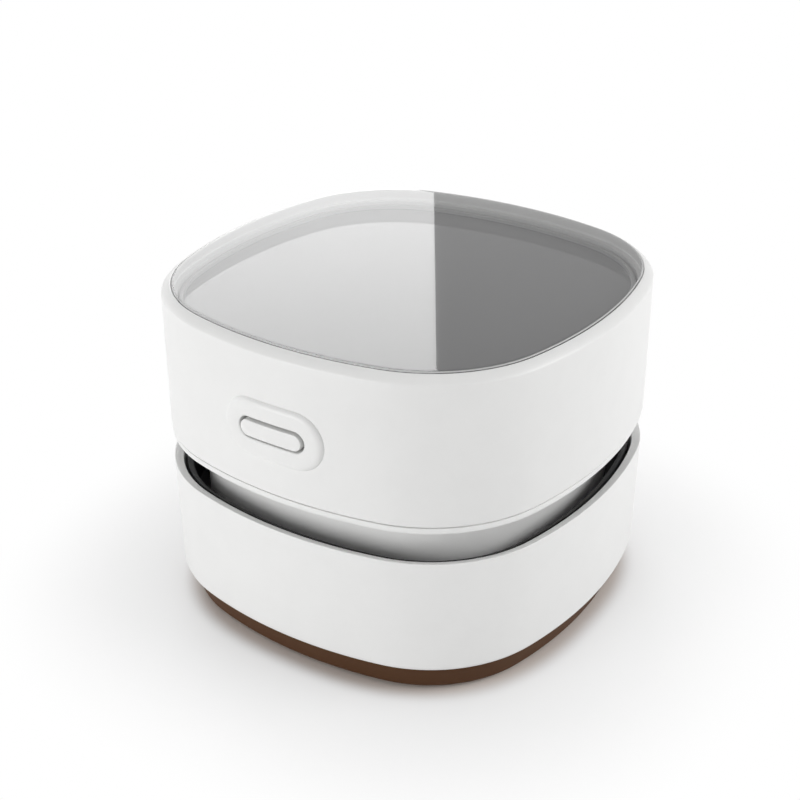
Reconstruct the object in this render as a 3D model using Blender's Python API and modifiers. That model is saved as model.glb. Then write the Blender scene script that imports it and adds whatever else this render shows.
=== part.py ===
"""Desktop mini vacuum cleaner: a dust cup with its nozzle, and a motor unit that lifts off it.

Metres, +Z up. The origin is on the table under the middle of the body, and -Y is the front, where
the power button is. Both storeys share one plan: a rounded square of four shallow side arcs and
four corner arcs. Each wall is that plan moved inwards by an inset, lofted through a few levels.
"""
import math

import bmesh
import bpy
from mathutils import Vector

# Plan of the body
WIDTH = 0.0850
CORNER_R = 0.0274
SIDE_R = 0.0831
SIDE_STEPS = 4
CORNER_STEPS = 6

# Gap between pieces that seat on each other, how far a cutter runs past a face, and weld distance
CLEAR = 0.0003
OVERRUN = 0.0010
MERGE = 0.00001

# Levels from the table up
FOOT_PROUD = 0.0008
CUP_BOTTOM = 0.0061
CUP_H = 0.0235
GROOVE_H = 0.0059
STRIP_H = 0.0012
UPPER_H = 0.0283
LENS_PROUD = 0.0002

# Lower shell: moulded white wall with a rolled foot and an inward flange
CUP_WALL = 0.0017
CUP_DRAFT = 0.0004
CUP_FOOT_R = 0.0013
CUP_FLANGE_W = 0.0017
CUP_FLANGE_H = 0.0017
RIM_ROUND = 0.0003

# Dust bowl, standing on the lower shell's flange
BOWL_WALL = 0.0012
BOWL_FLOOR = 0.0014
BOWL_CHAMFER = 0.0010
BOWL_OUT_CHAMFER = 0.0014

# Inlet tube in the bowl, and the nozzle slot below it
NOZZLE_L = 0.0360
NOZZLE_W = 0.0120
TUBE_WALL = 0.0014
TUBE_H = 0.0080
SLOT_STEPS = 7

# Bowl collar: the trough under the groove, and the ring that the fan housing slides over
TROUGH_DROP = 0.0016
TROUGH_DEPTH = 0.0078
TROUGH_FLOOR = 0.0012
COLLAR_H = 0.0045
COLLAR_WALL = 0.0012
LIP_H = 0.0015
LIP_WALL = 0.0010

# Base plate: dark dish under the cup, with the mouth that holds the brushes
BASE_INSET = 0.0024
BASE_FOOT_INSET = 0.0032
BASE_ROUND = 0.0004
BASE_WALL = 0.0016
BASE_EDGE_H = 0.0010
MOUTH_L = 0.0460
MOUTH_W = 0.0280
MOUTH_H = 0.0036
MOUTH_CORNER = 0.0040

# Brush strips: a backing slice with rows of strands
BRUSH_L = 0.0380
BRUSH_W = 0.0034
BRUSH_BACK = 0.0012
BRUSH_Y = 0.0100
STRAND_R = 0.00022
STRAND_TIP_R = 0.00016
STRAND_L = 0.0026
STRAND_ROOT = 0.0004
STRAND_MARGIN = 0.0007
STRAND_ROWS = 3
STRAND_COLUMNS = 50
STRAND_SIDES = 3

# Feet and base screws, along the diagonals
FOOT_R = 0.0044
FOOT_H = 0.0014
FOOT_ROUND = 0.0003
FOOT_MARGIN = 0.0016
SCREW_TO_FOOT = 0.0030
SCREW_R = 0.0009
SCREW_GAP = 0.0002
SCREW_HEAD_R = 0.0018
SCREW_HEAD_H = 0.0012
SCREW_CROWN_R = 0.0013
SCREW_CROWN_H = 0.0005
SCREW_SLOT_W = 0.0005
SCREW_SLOT_H = 0.0005
BOSS_WALL = 0.0013
BASE_SCREW_L = 0.0100
BOSS_TOP = 0.0008

# Upper shell: drafted wall, shoulder, lens seat, tray pocket and tray ledge
UPPER_WALL = 0.0020
UPPER_DRAFT = 0.0006
SHOULDER_W = 0.0012
SHOULDER_H = 0.0017
SHOULDER_STEPS = 4
LENS_T = 0.0022
SEAT_W = 0.0011
POCKET_H = 0.0028
LEDGE_W = 0.0023
LEDGE_T = 0.0014
LENS_EDGE = 0.00015

# Tray under the lens
TRAY_RIM = 0.0008
TRAY_DEPTH = 0.0009
TRAY_FLOOR = 0.0010

# Chassis plate: its edge is the strip under the upper shell
STRIP_INSET = 0.0002
SPIGOT_WALL = 0.0012
SPIGOT_H = 0.0033
SHAFT_HOLE_R = 0.0040

# Fan housing: the neck between the storeys, with its floor, inlet and exhaust slots
NECK_INSET = 0.0065
NECK_WALL = 0.0015
NECK_LIFT = 0.0008
FAN_FLOOR = 0.0012
INLET_R = 0.0105
INLET_LIP_H = 0.0005
INLET_LIP_W = 0.0012
HOUSING_BOSS_R = 0.0026
HOUSING_BOSS_BITE = 0.0004
HOUSING_SCREW_L = 0.0050
VENT_COUNT = 9
VENT_W = 0.0028
VENT_H = 0.0046
VENT_PITCH = 0.0050
VENT_DROP = 0.0008

# Filter under the fan floor, and the seal that closes on the collar
FRAME_H = 0.0027
FRAME_RIM = 0.0030
FRAME_BAR_W = 0.0016
FRAME_BAR_H = 0.0008
PAD_T = 0.0014
SEAL_H = 0.0012
SEAL_W = 0.0015

# Impeller and shaft
FAN_TO_BOSS = 0.0076
FAN_DISC = 0.0010
FAN_TOP_GAP = 0.0006
HUB_R = 0.0042
HUB_NOSE = 0.0016
BLADE_COUNT = 9
BLADE_T = 0.0009
BLADE_IN_R = 0.0075
BLADE_IN_H = 0.0035
BLADE_OUT_H = 0.0026
BLADE_SWEEP = math.radians(52)
BLADE_STEPS = 7
BLADE_CURL_SHARE = 1.2
BLADE_ROOT = 0.0003
SHAFT_R = 0.0010
SHAFT_GAP = 0.0002
SHAFT_IN_MOTOR = 0.0060

# Motor on its bracket
BRACKET_R = 0.0140
BRACKET_T = 0.0012
BRACKET_BORE_R = 0.0034
BRACKET_EAR_D = 0.0156
BRACKET_EAR_R = 0.0030
BRACKET_EAR_STEP = 0.0002
BRACKET_EAR_TURN = math.radians(35)
MOTOR_R = 0.0121
MOTOR_H = 0.0172
MOTOR_ROUND = 0.0010
MOTOR_CAP_R = 0.0112
MOTOR_CAP_H = 0.0018
MOTOR_SCREW_L = 0.0026

# Battery in its cradle
CELL_R = 0.0071
CELL_LIFT = 0.0148
CELL_TO_MOTOR = 0.0014
CELL_OVERHANG = 0.0030
CELL_ROUND = 0.0006
CELL_TIP_R = 0.0028
CELL_TIP_H = 0.0009
CRADLE_WALL = 0.0012
LEG_W = 0.0018
LEG_D = 0.0090
LEG_INSET = 0.0008
LEG_TO_SCREW = 0.0026
LEG_TO_BOARD = 0.0004

# Circuit board and charging socket at the rear
BOARD_TO_MOTOR = 0.0039
BOARD_TO_REAR = 0.0085
BOARD_T = 0.0012
POST_R = 0.0015
POST_H = 0.0019
SOCKET_W = 0.0089
SOCKET_H = 0.0032
SOCKET_D = 0.0085
SOCKET_WALL = 0.0005
SOCKET_RECESS = 0.0012
SOCKET_DEPTH = 0.0060
CHIP_W = 0.0060
CHIP_T = 0.0012

# Power button in its raised bezel, with the switch behind it
BUTTON_LIFT = 0.0130
BEZEL_L = 0.0214
BEZEL_W = 0.0116
BEZEL_PROUD = 0.00085
BEZEL_ROUND_STEPS = 3
BUTTON_L = 0.0132
BUTTON_W = 0.0032
BUTTON_GAP = 0.0004
BUTTON_PROUD = 0.0004
BUTTON_ROUND = 0.0003
BUTTON_FLANGE_L = 0.0168
BUTTON_FLANGE_W = 0.0060
BUTTON_FLANGE_T = 0.0010
BUTTON_STEM_R = 0.0018
BUTTON_STEM_L = 0.0012
BUTTON_TRAVEL = 0.0010
PLUNGER_R = 0.0015
PLUNGER_L = 0.0030
PLUNGER_OUT = 0.0013
SWITCH_W = 0.0062
SWITCH_D = 0.0034
SWITCH_BOARD_W = 0.0150
SWITCH_BOARD_T = 0.0012
SWITCH_BOARD_H = 0.0185
RAIL_W = 0.0016
RAIL_H = 0.0060
RAIL_D = 0.0040

# Leads from the battery and the motor down to the circuit board
LEAD_R = 0.0005
LEAD_BEND = 0.0012
LEAD_SPACING = 0.0028
CELL_LEAD_IN_X = 0.0025
CELL_LEAD_IN_Y = 0.0030
MOTOR_LEAD_X = 0.0040
MOTOR_LEAD_END_X = 0.0065
MOTOR_LEAD_IN_Y = 0.0020

ROUND_STEPS = 24
SMALL_STEPS = 12

# Where the middle point of a small round lies, as a share of its radius
ROUND_SHARE = 0.3

# Levels that follow from the sizes above
HALF = WIDTH / 2
SIDE_CENTRE = HALF - SIDE_R
SPREAD = SIDE_R - CORNER_R
CORNER_CENTRE = (SIDE_CENTRE + math.sqrt(2 * SPREAD**2 - SIDE_CENTRE**2)) / 2
SIDE_TURN = math.atan2(CORNER_CENTRE, CORNER_CENTRE - SIDE_CENTRE)
DIAGONAL = CORNER_CENTRE * math.sqrt(2) + CORNER_R
BASE_Z = FOOT_PROUD
RIM_Z = CUP_BOTTOM + CUP_H
DECK_Z = RIM_Z + GROOVE_H
DECK_TOP = DECK_Z + STRIP_H
UPPER_BOTTOM = DECK_TOP + CLEAR
SHELL_TOP = UPPER_BOTTOM + UPPER_H
LENS_TOP = SHELL_TOP + LENS_PROUD
BOWL_Z = CUP_BOTTOM + CUP_FLANGE_H + CLEAR
BOWL_INSIDE = BOWL_Z + BOWL_FLOOR
TROUGH_TOP = RIM_Z - TROUGH_DROP
TROUGH_FLOOR_TOP = TROUGH_TOP - TROUGH_DEPTH
COLLAR_Z = TROUGH_FLOOR_TOP - TROUGH_FLOOR
COLLAR_TOP = COLLAR_Z + COLLAR_H
BOWL_TOP = COLLAR_Z - CLEAR
FLANGE_INSET = CUP_DRAFT + CUP_FOOT_R + CUP_FLANGE_W
LIP_INSET = UPPER_DRAFT + SHOULDER_W
SEAT_Z = LENS_TOP - LENS_T - CLEAR
POCKET_INSET = LIP_INSET + SEAT_W
LEDGE_Z = SEAT_Z - POCKET_H
TRAY_Z = LEDGE_Z + CLEAR
NECK_BOTTOM = TROUGH_FLOOR_TOP + NECK_LIFT
NECK_TOP = DECK_Z - CLEAR
SEAL_Z = COLLAR_TOP + CLEAR
FRAME_Z = SEAL_Z + SEAL_H + CLEAR
FAN_FLOOR_Z = FRAME_Z + FRAME_H + CLEAR
NECK_INSIDE = NECK_INSET + NECK_WALL
SPIGOT_INSET = UPPER_DRAFT + UPPER_WALL + CLEAR
BUTTON_Z = UPPER_BOTTOM + BUTTON_LIFT
CELL_Z = DECK_TOP + CELL_LIFT

# Places along the diagonals, and what is as large as the room that the body leaves it
FOOT_D = DIAGONAL - BASE_FOOT_INSET - FOOT_MARGIN - FOOT_R
BASE_SCREW_D = FOOT_D - FOOT_R - SCREW_TO_FOOT - SCREW_HEAD_R
HOUSING_BOSS_D = DIAGONAL - NECK_INSIDE + HOUSING_BOSS_BITE - HOUSING_BOSS_R
FAN_R = HOUSING_BOSS_D - HOUSING_BOSS_R - FAN_TO_BOSS
CRADLE_R = CELL_R + CLEAR + CRADLE_WALL
CELL_Y = MOTOR_R + CELL_TO_MOTOR + CRADLE_R
CRADLE_L = 2 * (HOUSING_BOSS_D / math.sqrt(2) - SCREW_HEAD_R - LEG_TO_SCREW + LEG_INSET)
CELL_L = CRADLE_L + 2 * CELL_OVERHANG
BOARD_L = CRADLE_L - 2 * (LEG_INSET + LEG_W + LEG_TO_BOARD)
BOARD_FRONT = MOTOR_R + BOARD_TO_MOTOR
BOARD_W = HALF - BOARD_TO_REAR - BOARD_FRONT
BOARD_Y = BOARD_FRONT + BOARD_W / 2

COLOURS = {
    "white_shell": ((0.83, 0.83, 0.82), 0.34, 0.0),
    "clear_lens": ((0.62, 0.63, 0.64), 0.04, 0.0),
    "grey_tray": ((0.40, 0.41, 0.42), 0.45, 0.0),
    "black_plastic": ((0.012, 0.012, 0.013), 0.50, 0.0),
    "brown_base": ((0.065, 0.032, 0.018), 0.48, 0.0),
    "nylon": ((0.03, 0.03, 0.032), 0.45, 0.0),
    "rubber": ((0.02, 0.02, 0.02), 0.85, 0.0),
    "filter_grey": ((0.55, 0.56, 0.57), 0.95, 0.0),
    "steel": ((0.62, 0.62, 0.63), 0.28, 1.0),
    "fan_plastic": ((0.09, 0.10, 0.12), 0.40, 0.0),
    "board_green": ((0.02, 0.16, 0.06), 0.45, 0.0),
    "cell_wrap": ((0.05, 0.18, 0.42), 0.35, 0.0),
    "lead_red": ((0.55, 0.03, 0.02), 0.45, 0.0),
    "lead_black": ((0.015, 0.015, 0.015), 0.45, 0.0),
}


# Blender objects and materials

def clear_scene():
    for thing in list(bpy.data.objects):
        bpy.data.objects.remove(thing)


def new_collection(name):
    collection = bpy.data.collections.new(name)
    bpy.context.scene.collection.children.link(collection)
    return collection


def material(name):
    if name in bpy.data.materials:
        return bpy.data.materials[name]
    colour, roughness, metallic = COLOURS[name]
    made = bpy.data.materials.new(name)
    made.use_nodes = True
    shader = made.node_tree.nodes["Principled BSDF"]
    shader.inputs["Base Color"].default_value = (*colour, 1.0)
    shader.inputs["Roughness"].default_value = roughness
    shader.inputs["Metallic"].default_value = metallic
    if name == "clear_lens":
        shader.inputs["Alpha"].default_value = 0.35
    return made


def place(name, mesh, colour):
    """Make an object from a mesh: a part with its material, or a cutter where it has no colour."""
    thing = bpy.data.objects.new(name, mesh)
    if colour:
        mesh.materials.append(material(colour))
        mesh.shade_smooth()
        mesh.set_sharp_from_angle(angle=math.radians(30))
        PARTS.objects.link(thing)
    else:
        thing.hide_render = True
        thing.display_type = "WIRE"
        CUTTERS.objects.link(thing)
    return thing


def finish_mesh(name, bm, colour):
    bmesh.ops.recalc_face_normals(bm, faces=bm.faces)
    mesh = bpy.data.meshes.new(name)
    bm.to_mesh(mesh)
    bm.free()
    return place(name, mesh, colour)


def boolean(thing, other, operation):
    modifier = thing.modifiers.new(operation.lower(), "BOOLEAN")
    modifier.operation = operation
    modifier.solver = "EXACT"
    modifier.object = other


def cut(thing, *cutters):
    for cutter in cutters:
        boolean(thing, cutter, "DIFFERENCE")


def add(thing, *extras):
    for extra in extras:
        boolean(thing, extra, "UNION")


# Outlines, as lists of points in the plane

def outline(inset=0.0):
    """The body's plan: four side arcs and four corner arcs, moved inwards by the inset."""
    points = []
    for quarter in range(4):
        turn = quarter * math.pi / 2
        arc = []
        for step in range(SIDE_STEPS):
            angle = SIDE_TURN * (2 * step / SIDE_STEPS - 1)
            radius = SIDE_R - inset
            arc.append((SIDE_CENTRE + radius * math.cos(angle), radius * math.sin(angle)))
        for step in range(CORNER_STEPS):
            angle = SIDE_TURN + (math.pi / 2 - 2 * SIDE_TURN) * step / CORNER_STEPS
            radius = CORNER_R - inset
            arc.append((CORNER_CENTRE + radius * math.cos(angle),
                        CORNER_CENTRE + radius * math.sin(angle)))
        for x, y in arc:
            points.append((x * math.cos(turn) - y * math.sin(turn),
                           x * math.sin(turn) + y * math.cos(turn)))
    return points


def front_distance(x, inset=0.0):
    """How far in front of the middle the wall lies, at a place across the front."""
    return SIDE_CENTRE + math.sqrt((SIDE_R - inset)**2 - x**2)


def slot_outline(length, width):
    """A slot with round ends; its points come in pairs that mirror each other across its length."""
    radius = width / 2
    reach = length / 2 - radius
    right = []
    for step in range(SLOT_STEPS + 1):
        angle = math.pi * (step / SLOT_STEPS - 0.5)
        right.append((reach + radius * math.cos(angle), radius * math.sin(angle)))
    top = [(reach * share, radius) for share in (0.5, 0.0, -0.5)]
    half = right + top
    return half + [(-x, -y) for x, y in half]


def rounded_rectangle(length, width, corner):
    points = []
    for quarter in range(4):
        sign_x = 1 if quarter in (0, 3) else -1
        sign_y = 1 if quarter in (0, 1) else -1
        for step in range(4):
            angle = math.pi / 2 * (quarter + step / 3)
            points.append((sign_x * (length / 2 - corner) + corner * math.cos(angle),
                           sign_y * (width / 2 - corner) + corner * math.sin(angle)))
    return points


def at_level(points, z):
    return [(x, y, z) for x, y in points]


# Solids

def loft(name, sections, colour=None, ring=False, strip_cap=False):
    """Skin a row of sections; a ring joins the last to the first, else both ends are closed."""
    bm = bmesh.new()
    rows = [[bm.verts.new(point) for point in section] for section in sections]
    pairs = list(zip(rows, rows[1:]))
    if ring:
        pairs.append((rows[-1], rows[0]))
    for low, high in pairs:
        for k in range(len(low)):
            after = (k + 1) % len(low)
            bm.faces.new((low[k], low[after], high[after], high[k]))
    if not ring:
        bm.faces.new(rows[0][::-1])
        if strip_cap:
            upper = sorted((v for v in rows[-1] if v.co.z > BUTTON_Z), key=lambda v: v.co.x)
            lower = sorted((v for v in rows[-1] if v.co.z < BUTTON_Z), key=lambda v: v.co.x)
            for k in range(len(upper) - 1):
                bm.faces.new((upper[k], upper[k + 1], lower[k + 1], lower[k]))
        else:
            bm.faces.new(rows[-1])
    return finish_mesh(name, bm, colour)


def shell_loft(name, stations, colour=None, ring=False):
    """Loft the body's plan through stations of inset and height."""
    return loft(name, [at_level(outline(inset), z) for inset, z in stations], colour, ring)


def prism(name, points, low, high, colour=None):
    return loft(name, [at_level(points, low), at_level(points, high)], colour)


def turned(name, profile, colour=None, steps=ROUND_STEPS, centre=(0, 0, 0), along="Z"):
    """Turn a profile of radius and height, listed from its top to its bottom, about an axis."""
    mesh = bpy.data.meshes.new(name)
    edges = [(k, k + 1) for k in range(len(profile) - 1)]
    mesh.from_pydata([(radius, 0, height) for radius, height in profile], edges, [])
    thing = place(name, mesh, colour)
    thing.location = centre
    if along == "X":
        thing.rotation_euler = (0, math.pi / 2, 0)
    if along == "Y":
        thing.rotation_euler = (math.pi / 2, 0, 0)
    screw = thing.modifiers.new("turn", "SCREW")
    screw.axis = "Z"
    screw.steps = steps
    screw.render_steps = steps
    screw.use_merge_vertices = True
    screw.merge_threshold = MERGE
    return thing


def rod(name, radius, low, high, colour=None, steps=SMALL_STEPS, centre=(0, 0), along="Z"):
    """A plain cylinder between two places along its axis; the centre gives the other two."""
    spot = {
        "Z": (centre[0], centre[1], 0),
        "Y": (centre[0], 0, centre[1]),
        "X": (0, centre[0], centre[1]),
    }[along]
    if along == "Y":
        low, high = -high, -low
    profile = [(0, high), (radius, high), (radius, low), (0, low)]
    return turned(name, profile, colour, steps, spot, along)


def box(name, low, high, colour=None):
    """A box between two corners, from a cube primitive."""
    bm = bmesh.new()
    bmesh.ops.create_cube(bm, size=1)
    low, high = Vector(low), Vector(high)
    size, middle = high - low, (high + low) / 2
    for vertex in bm.verts:
        vertex.co = Vector(vertex.co[k] * size[k] + middle[k] for k in range(3))
    return finish_mesh(name, bm, colour)


def diagonal_places(distance):
    """The four places on the diagonals at a distance from the middle."""
    reach = distance / math.sqrt(2)
    return [(reach, reach), (-reach, reach), (-reach, -reach), (reach, -reach)]


def screw_part(name, seat, length, place_xy, up):
    """A pan-head screw with a driver slot; up says whether its shank runs up from its seat."""
    sign = 1 if up else -1
    head_end = seat - sign * SCREW_HEAD_H
    tip = seat + sign * length
    profile = [
        (0, tip),
        (SCREW_R / 2, tip),
        (SCREW_R, tip - sign * SCREW_R),
        (SCREW_R, seat),
        (SCREW_HEAD_R, seat),
        (SCREW_HEAD_R, head_end + sign * SCREW_CROWN_H),
        (SCREW_CROWN_R, head_end),
        (0, head_end),
    ]
    if not up:
        profile.reverse()
    screw = turned(name, profile, "steel", SMALL_STEPS, (*place_xy, 0))
    x, y = place_xy
    deep = head_end + sign * SCREW_SLOT_H
    past = head_end - sign * OVERRUN
    cut(screw, box(name + "_slot",
                   (x - SCREW_HEAD_R - OVERRUN, y - SCREW_SLOT_W / 2, min(deep, past)),
                   (x + SCREW_HEAD_R + OVERRUN, y + SCREW_SLOT_W / 2, max(deep, past))))
    return screw


# Dust cup

def cup_inset(z):
    """Inset of the lower shell's outer face: it draws in a little towards its foot."""
    return CUP_DRAFT * (RIM_Z - z) / CUP_H


def build_lower_shell():
    foot = []
    for step in range(4):
        angle = math.pi / 2 * step / 3
        foot.append((CUP_DRAFT + CUP_FOOT_R * (1 - math.cos(angle)),
                     CUP_BOTTOM + CUP_FOOT_R * (1 - math.sin(angle))))
    flange_top = CUP_BOTTOM + CUP_FLANGE_H
    inner_foot = cup_inset(flange_top) + CUP_WALL
    stations = [
        (CUP_WALL - RIM_ROUND, RIM_Z),
        (RIM_ROUND, RIM_Z),
        (RIM_ROUND * ROUND_SHARE, RIM_Z - RIM_ROUND * ROUND_SHARE),
        (0, RIM_Z - RIM_ROUND),
        *foot,
        (FLANGE_INSET, CUP_BOTTOM),
        (FLANGE_INSET, flange_top),
        (inner_foot + BOWL_CHAMFER, flange_top),
        (inner_foot, flange_top + BOWL_CHAMFER),
        (CUP_WALL, RIM_Z - RIM_ROUND),
    ]
    shell_loft("lower_shell", stations, "white_shell", ring=True)


def build_dust_bowl():
    outer = CUP_DRAFT + CUP_WALL + CLEAR
    stations = [
        (outer + BOWL_OUT_CHAMFER, BOWL_Z),
        (outer, BOWL_Z + BOWL_OUT_CHAMFER),
        (outer, BOWL_TOP),
        (outer + BOWL_WALL, BOWL_TOP),
        (outer + BOWL_WALL, BOWL_INSIDE + BOWL_CHAMFER),
        (outer + BOWL_WALL + BOWL_CHAMFER, BOWL_INSIDE),
    ]
    bowl = shell_loft("dust_bowl", stations, "black_plastic")
    tube_low = base_roof() + CLEAR
    tube_high = BOWL_INSIDE + TUBE_H
    length, width = NOZZLE_L + 2 * TUBE_WALL, NOZZLE_W + 2 * TUBE_WALL
    add(bowl, prism("inlet_tube", slot_outline(length, width), tube_low, tube_high))
    boss_r = SCREW_R + SCREW_GAP + BOSS_WALL
    tip = base_screw_seat() + BASE_SCREW_L
    for k, spot in enumerate(diagonal_places(BASE_SCREW_D)):
        add(bowl, rod(f"bowl_boss_{k}", boss_r, BOWL_Z + BOWL_FLOOR / 2, tip + CLEAR + BOSS_TOP,
                      centre=spot))
    cut(bowl, prism("inlet_bore", slot_outline(NOZZLE_L, NOZZLE_W),
                    tube_low - OVERRUN, tube_high + OVERRUN))
    for k, spot in enumerate(diagonal_places(BASE_SCREW_D)):
        cut(bowl, rod(f"bowl_pilot_{k}", SCREW_R + SCREW_GAP, BOWL_Z - OVERRUN, tip + CLEAR,
                      centre=spot))


def collar_inset():
    return NECK_INSIDE + CLEAR


def build_bowl_collar():
    outer = CUP_DRAFT + CUP_WALL + CLEAR
    wall = outer + BOWL_WALL
    collar_in = collar_inset() + COLLAR_WALL
    lip = wall + CLEAR
    stations = [
        (outer, COLLAR_Z),
        (outer, TROUGH_TOP),
        (wall, TROUGH_TOP),
        (wall, TROUGH_FLOOR_TOP),
        (collar_inset(), TROUGH_FLOOR_TOP),
        (collar_inset(), COLLAR_TOP),
        (collar_in, COLLAR_TOP),
        (collar_in, COLLAR_Z),
        (lip + LIP_WALL, COLLAR_Z),
        (lip + LIP_WALL, COLLAR_Z - LIP_H),
        (lip, COLLAR_Z - LIP_H),
        (lip, COLLAR_Z),
    ]
    shell_loft("bowl_collar", stations, "black_plastic", ring=True)


def base_roof():
    """Top of the block over the mouth, on which the inlet tube stands."""
    return BASE_Z + MOUTH_H + BASE_WALL


def base_screw_seat():
    return BASE_Z + BASE_WALL + SCREW_HEAD_H


def build_base_plate():
    edge_top = CUP_BOTTOM - CLEAR
    plug_top = BOWL_Z - CLEAR
    plug = FLANGE_INSET + CLEAR
    inside = BASE_FOOT_INSET + BASE_WALL
    stations = [
        (BASE_FOOT_INSET + BASE_ROUND, BASE_Z),
        (BASE_FOOT_INSET, BASE_Z + BASE_ROUND),
        (BASE_INSET, edge_top - BASE_EDGE_H),
        (BASE_INSET, edge_top),
        (plug, edge_top),
        (plug, plug_top),
        (plug + BASE_WALL, plug_top),
        (max(inside, plug + BASE_WALL), BASE_Z + BASE_WALL),
    ]
    base = shell_loft("base_plate", stations, "brown_base")
    wall = BASE_WALL
    add(base, prism("mouth_block",
                    rounded_rectangle(MOUTH_L + 2 * wall, MOUTH_W + 2 * wall, MOUTH_CORNER + wall),
                    BASE_Z + BASE_WALL / 2, base_roof()))
    head_r = SCREW_HEAD_R + SCREW_GAP
    for k, spot in enumerate(diagonal_places(BASE_SCREW_D)):
        add(base, rod(f"base_post_{k}", head_r + BOSS_WALL / 2, BASE_Z + BASE_WALL / 2,
                      BOWL_Z - CLEAR, centre=spot))
    cut(base, prism("mouth", rounded_rectangle(MOUTH_L, MOUTH_W, MOUTH_CORNER),
                    BASE_Z - OVERRUN, BASE_Z + MOUTH_H))
    cut(base, prism("nozzle", slot_outline(NOZZLE_L, NOZZLE_W),
                    BASE_Z, base_roof() + OVERRUN))
    for k, spot in enumerate(diagonal_places(BASE_SCREW_D)):
        cut(base, rod(f"base_screw_hole_{k}", SCREW_R + SCREW_GAP, BASE_Z, BOWL_Z, centre=spot))
        cut(base, rod(f"base_head_hole_{k}", head_r, BASE_Z - OVERRUN,
                      base_screw_seat() + CLEAR, centre=spot))
        screw_part(f"base_screw_{k + 1}", base_screw_seat(), BASE_SCREW_L, spot, up=True)
    for k, spot in enumerate(diagonal_places(FOOT_D)):
        cut(base, rod(f"foot_pocket_{k}", FOOT_R + CLEAR, BASE_Z - OVERRUN, FOOT_H + CLEAR,
                      steps=ROUND_STEPS, centre=spot))
        profile = [
            (0, FOOT_H),
            (FOOT_R, FOOT_H),
            (FOOT_R, FOOT_ROUND),
            (FOOT_R - FOOT_ROUND, 0),
            (0, 0),
        ]
        turned(f"foot_{k + 1}", profile, "rubber", ROUND_STEPS, (*spot, 0))


def build_brush(name, y):
    """A strip whose strands hang from its backing; all are joined into one solid."""
    top = BASE_Z + MOUTH_H - CLEAR
    low = top - BRUSH_BACK
    strip = box(name, (-BRUSH_L / 2, y - BRUSH_W / 2, low), (BRUSH_L / 2, y + BRUSH_W / 2, top),
                "nylon")
    bm = bmesh.new()
    span_x = BRUSH_L - 2 * STRAND_MARGIN
    span_y = BRUSH_W - 2 * STRAND_MARGIN
    for row in range(STRAND_ROWS):
        for column in range(STRAND_COLUMNS):
            made = bmesh.ops.create_cone(
                bm, cap_ends=True, segments=STRAND_SIDES,
                radius1=STRAND_TIP_R, radius2=STRAND_R, depth=STRAND_L + STRAND_ROOT)
            stagger = (row % 2) / 2
            shift = Vector((
                span_x * ((column + stagger) / (STRAND_COLUMNS - 0.5) - 0.5),
                y + span_y * (row / (STRAND_ROWS - 1) - 0.5),
                low + STRAND_ROOT - (STRAND_L + STRAND_ROOT) / 2))
            bmesh.ops.translate(bm, verts=made["verts"], vec=shift)
    add(strip, finish_mesh(name + "_strands", bm, None))


# Motor unit

def upper_inset(z):
    """Inset of the upper shell's outer face: it draws in a little towards its shoulder."""
    return UPPER_DRAFT * (z - UPPER_BOTTOM) / (UPPER_H - SHOULDER_H)


def build_upper_shell():
    shoulder = []
    for step in range(SHOULDER_STEPS + 1):
        angle = math.pi / 2 * step / SHOULDER_STEPS
        shoulder.append((UPPER_DRAFT + SHOULDER_W * (1 - math.cos(angle)),
                         SHELL_TOP - SHOULDER_H * (1 - math.sin(angle))))
    inner_high = UPPER_DRAFT + UPPER_WALL
    ledge_in = POCKET_INSET + LEDGE_W
    stations = [
        (0, UPPER_BOTTOM),
        *shoulder,
        (LIP_INSET, SEAT_Z),
        (POCKET_INSET, SEAT_Z),
        (POCKET_INSET, LEDGE_Z),
        (ledge_in, LEDGE_Z),
        (ledge_in, LEDGE_Z - LEDGE_T),
        (inner_high + LEDGE_W / 2, LEDGE_Z - LEDGE_T),
        (inner_high, LEDGE_Z - LEDGE_T - LEDGE_W / 2),
        (inner_high, UPPER_BOTTOM + SPIGOT_H),
        (UPPER_WALL, UPPER_BOTTOM),
    ]
    shell = shell_loft("upper_shell", stations, "white_shell", ring=True)
    add(shell, build_bezel())
    opening_l = BUTTON_L + 2 * BUTTON_GAP
    opening_w = BUTTON_W + 2 * BUTTON_GAP
    cut(shell, front_prism("button_opening", opening_l, opening_w,
                           HALF - UPPER_WALL * 2, HALF + BEZEL_PROUD + OVERRUN))
    socket_z = socket_low() + SOCKET_H / 2
    hole = slot_outline(SOCKET_W + 2 * CLEAR, SOCKET_H + 2 * CLEAR)
    rear = [[(x, y, socket_z + z) for x, z in hole]
            for y in (HALF - UPPER_WALL * 2, HALF + OVERRUN)]
    cut(shell, loft("socket_opening", rear))


def front_section(length, width, distance):
    """A slot outline on the front wall, at a distance from the middle that follows its curve."""
    return [(x, -distance(x), BUTTON_Z + z) for x, z in slot_outline(length, width)]


def front_prism(name, length, width, low, high, colour=None):
    return loft(name, [front_section(length, width, lambda x: low),
                       front_section(length, width, lambda x: high)], colour)


def build_bezel():
    """The raised pill round the button, with a rounded edge, following the wall's curve."""
    sections = [front_section(BEZEL_L, BEZEL_W,
                              lambda x: front_distance(x, upper_inset(BUTTON_Z) + UPPER_WALL / 2))]
    base_proud = -upper_inset(BUTTON_Z)
    rise = BEZEL_PROUD
    for step in range(BEZEL_ROUND_STEPS + 1):
        angle = math.pi / 2 * step / BEZEL_ROUND_STEPS
        shrink = 2 * rise * (1 - math.cos(angle))
        proud = base_proud + (rise - base_proud) * math.sin(angle)
        sections.append(front_section(BEZEL_L - shrink, BEZEL_W - shrink,
                                      lambda x, proud=proud: front_distance(x) + proud))
    return loft("bezel", sections, strip_cap=True)


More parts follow.
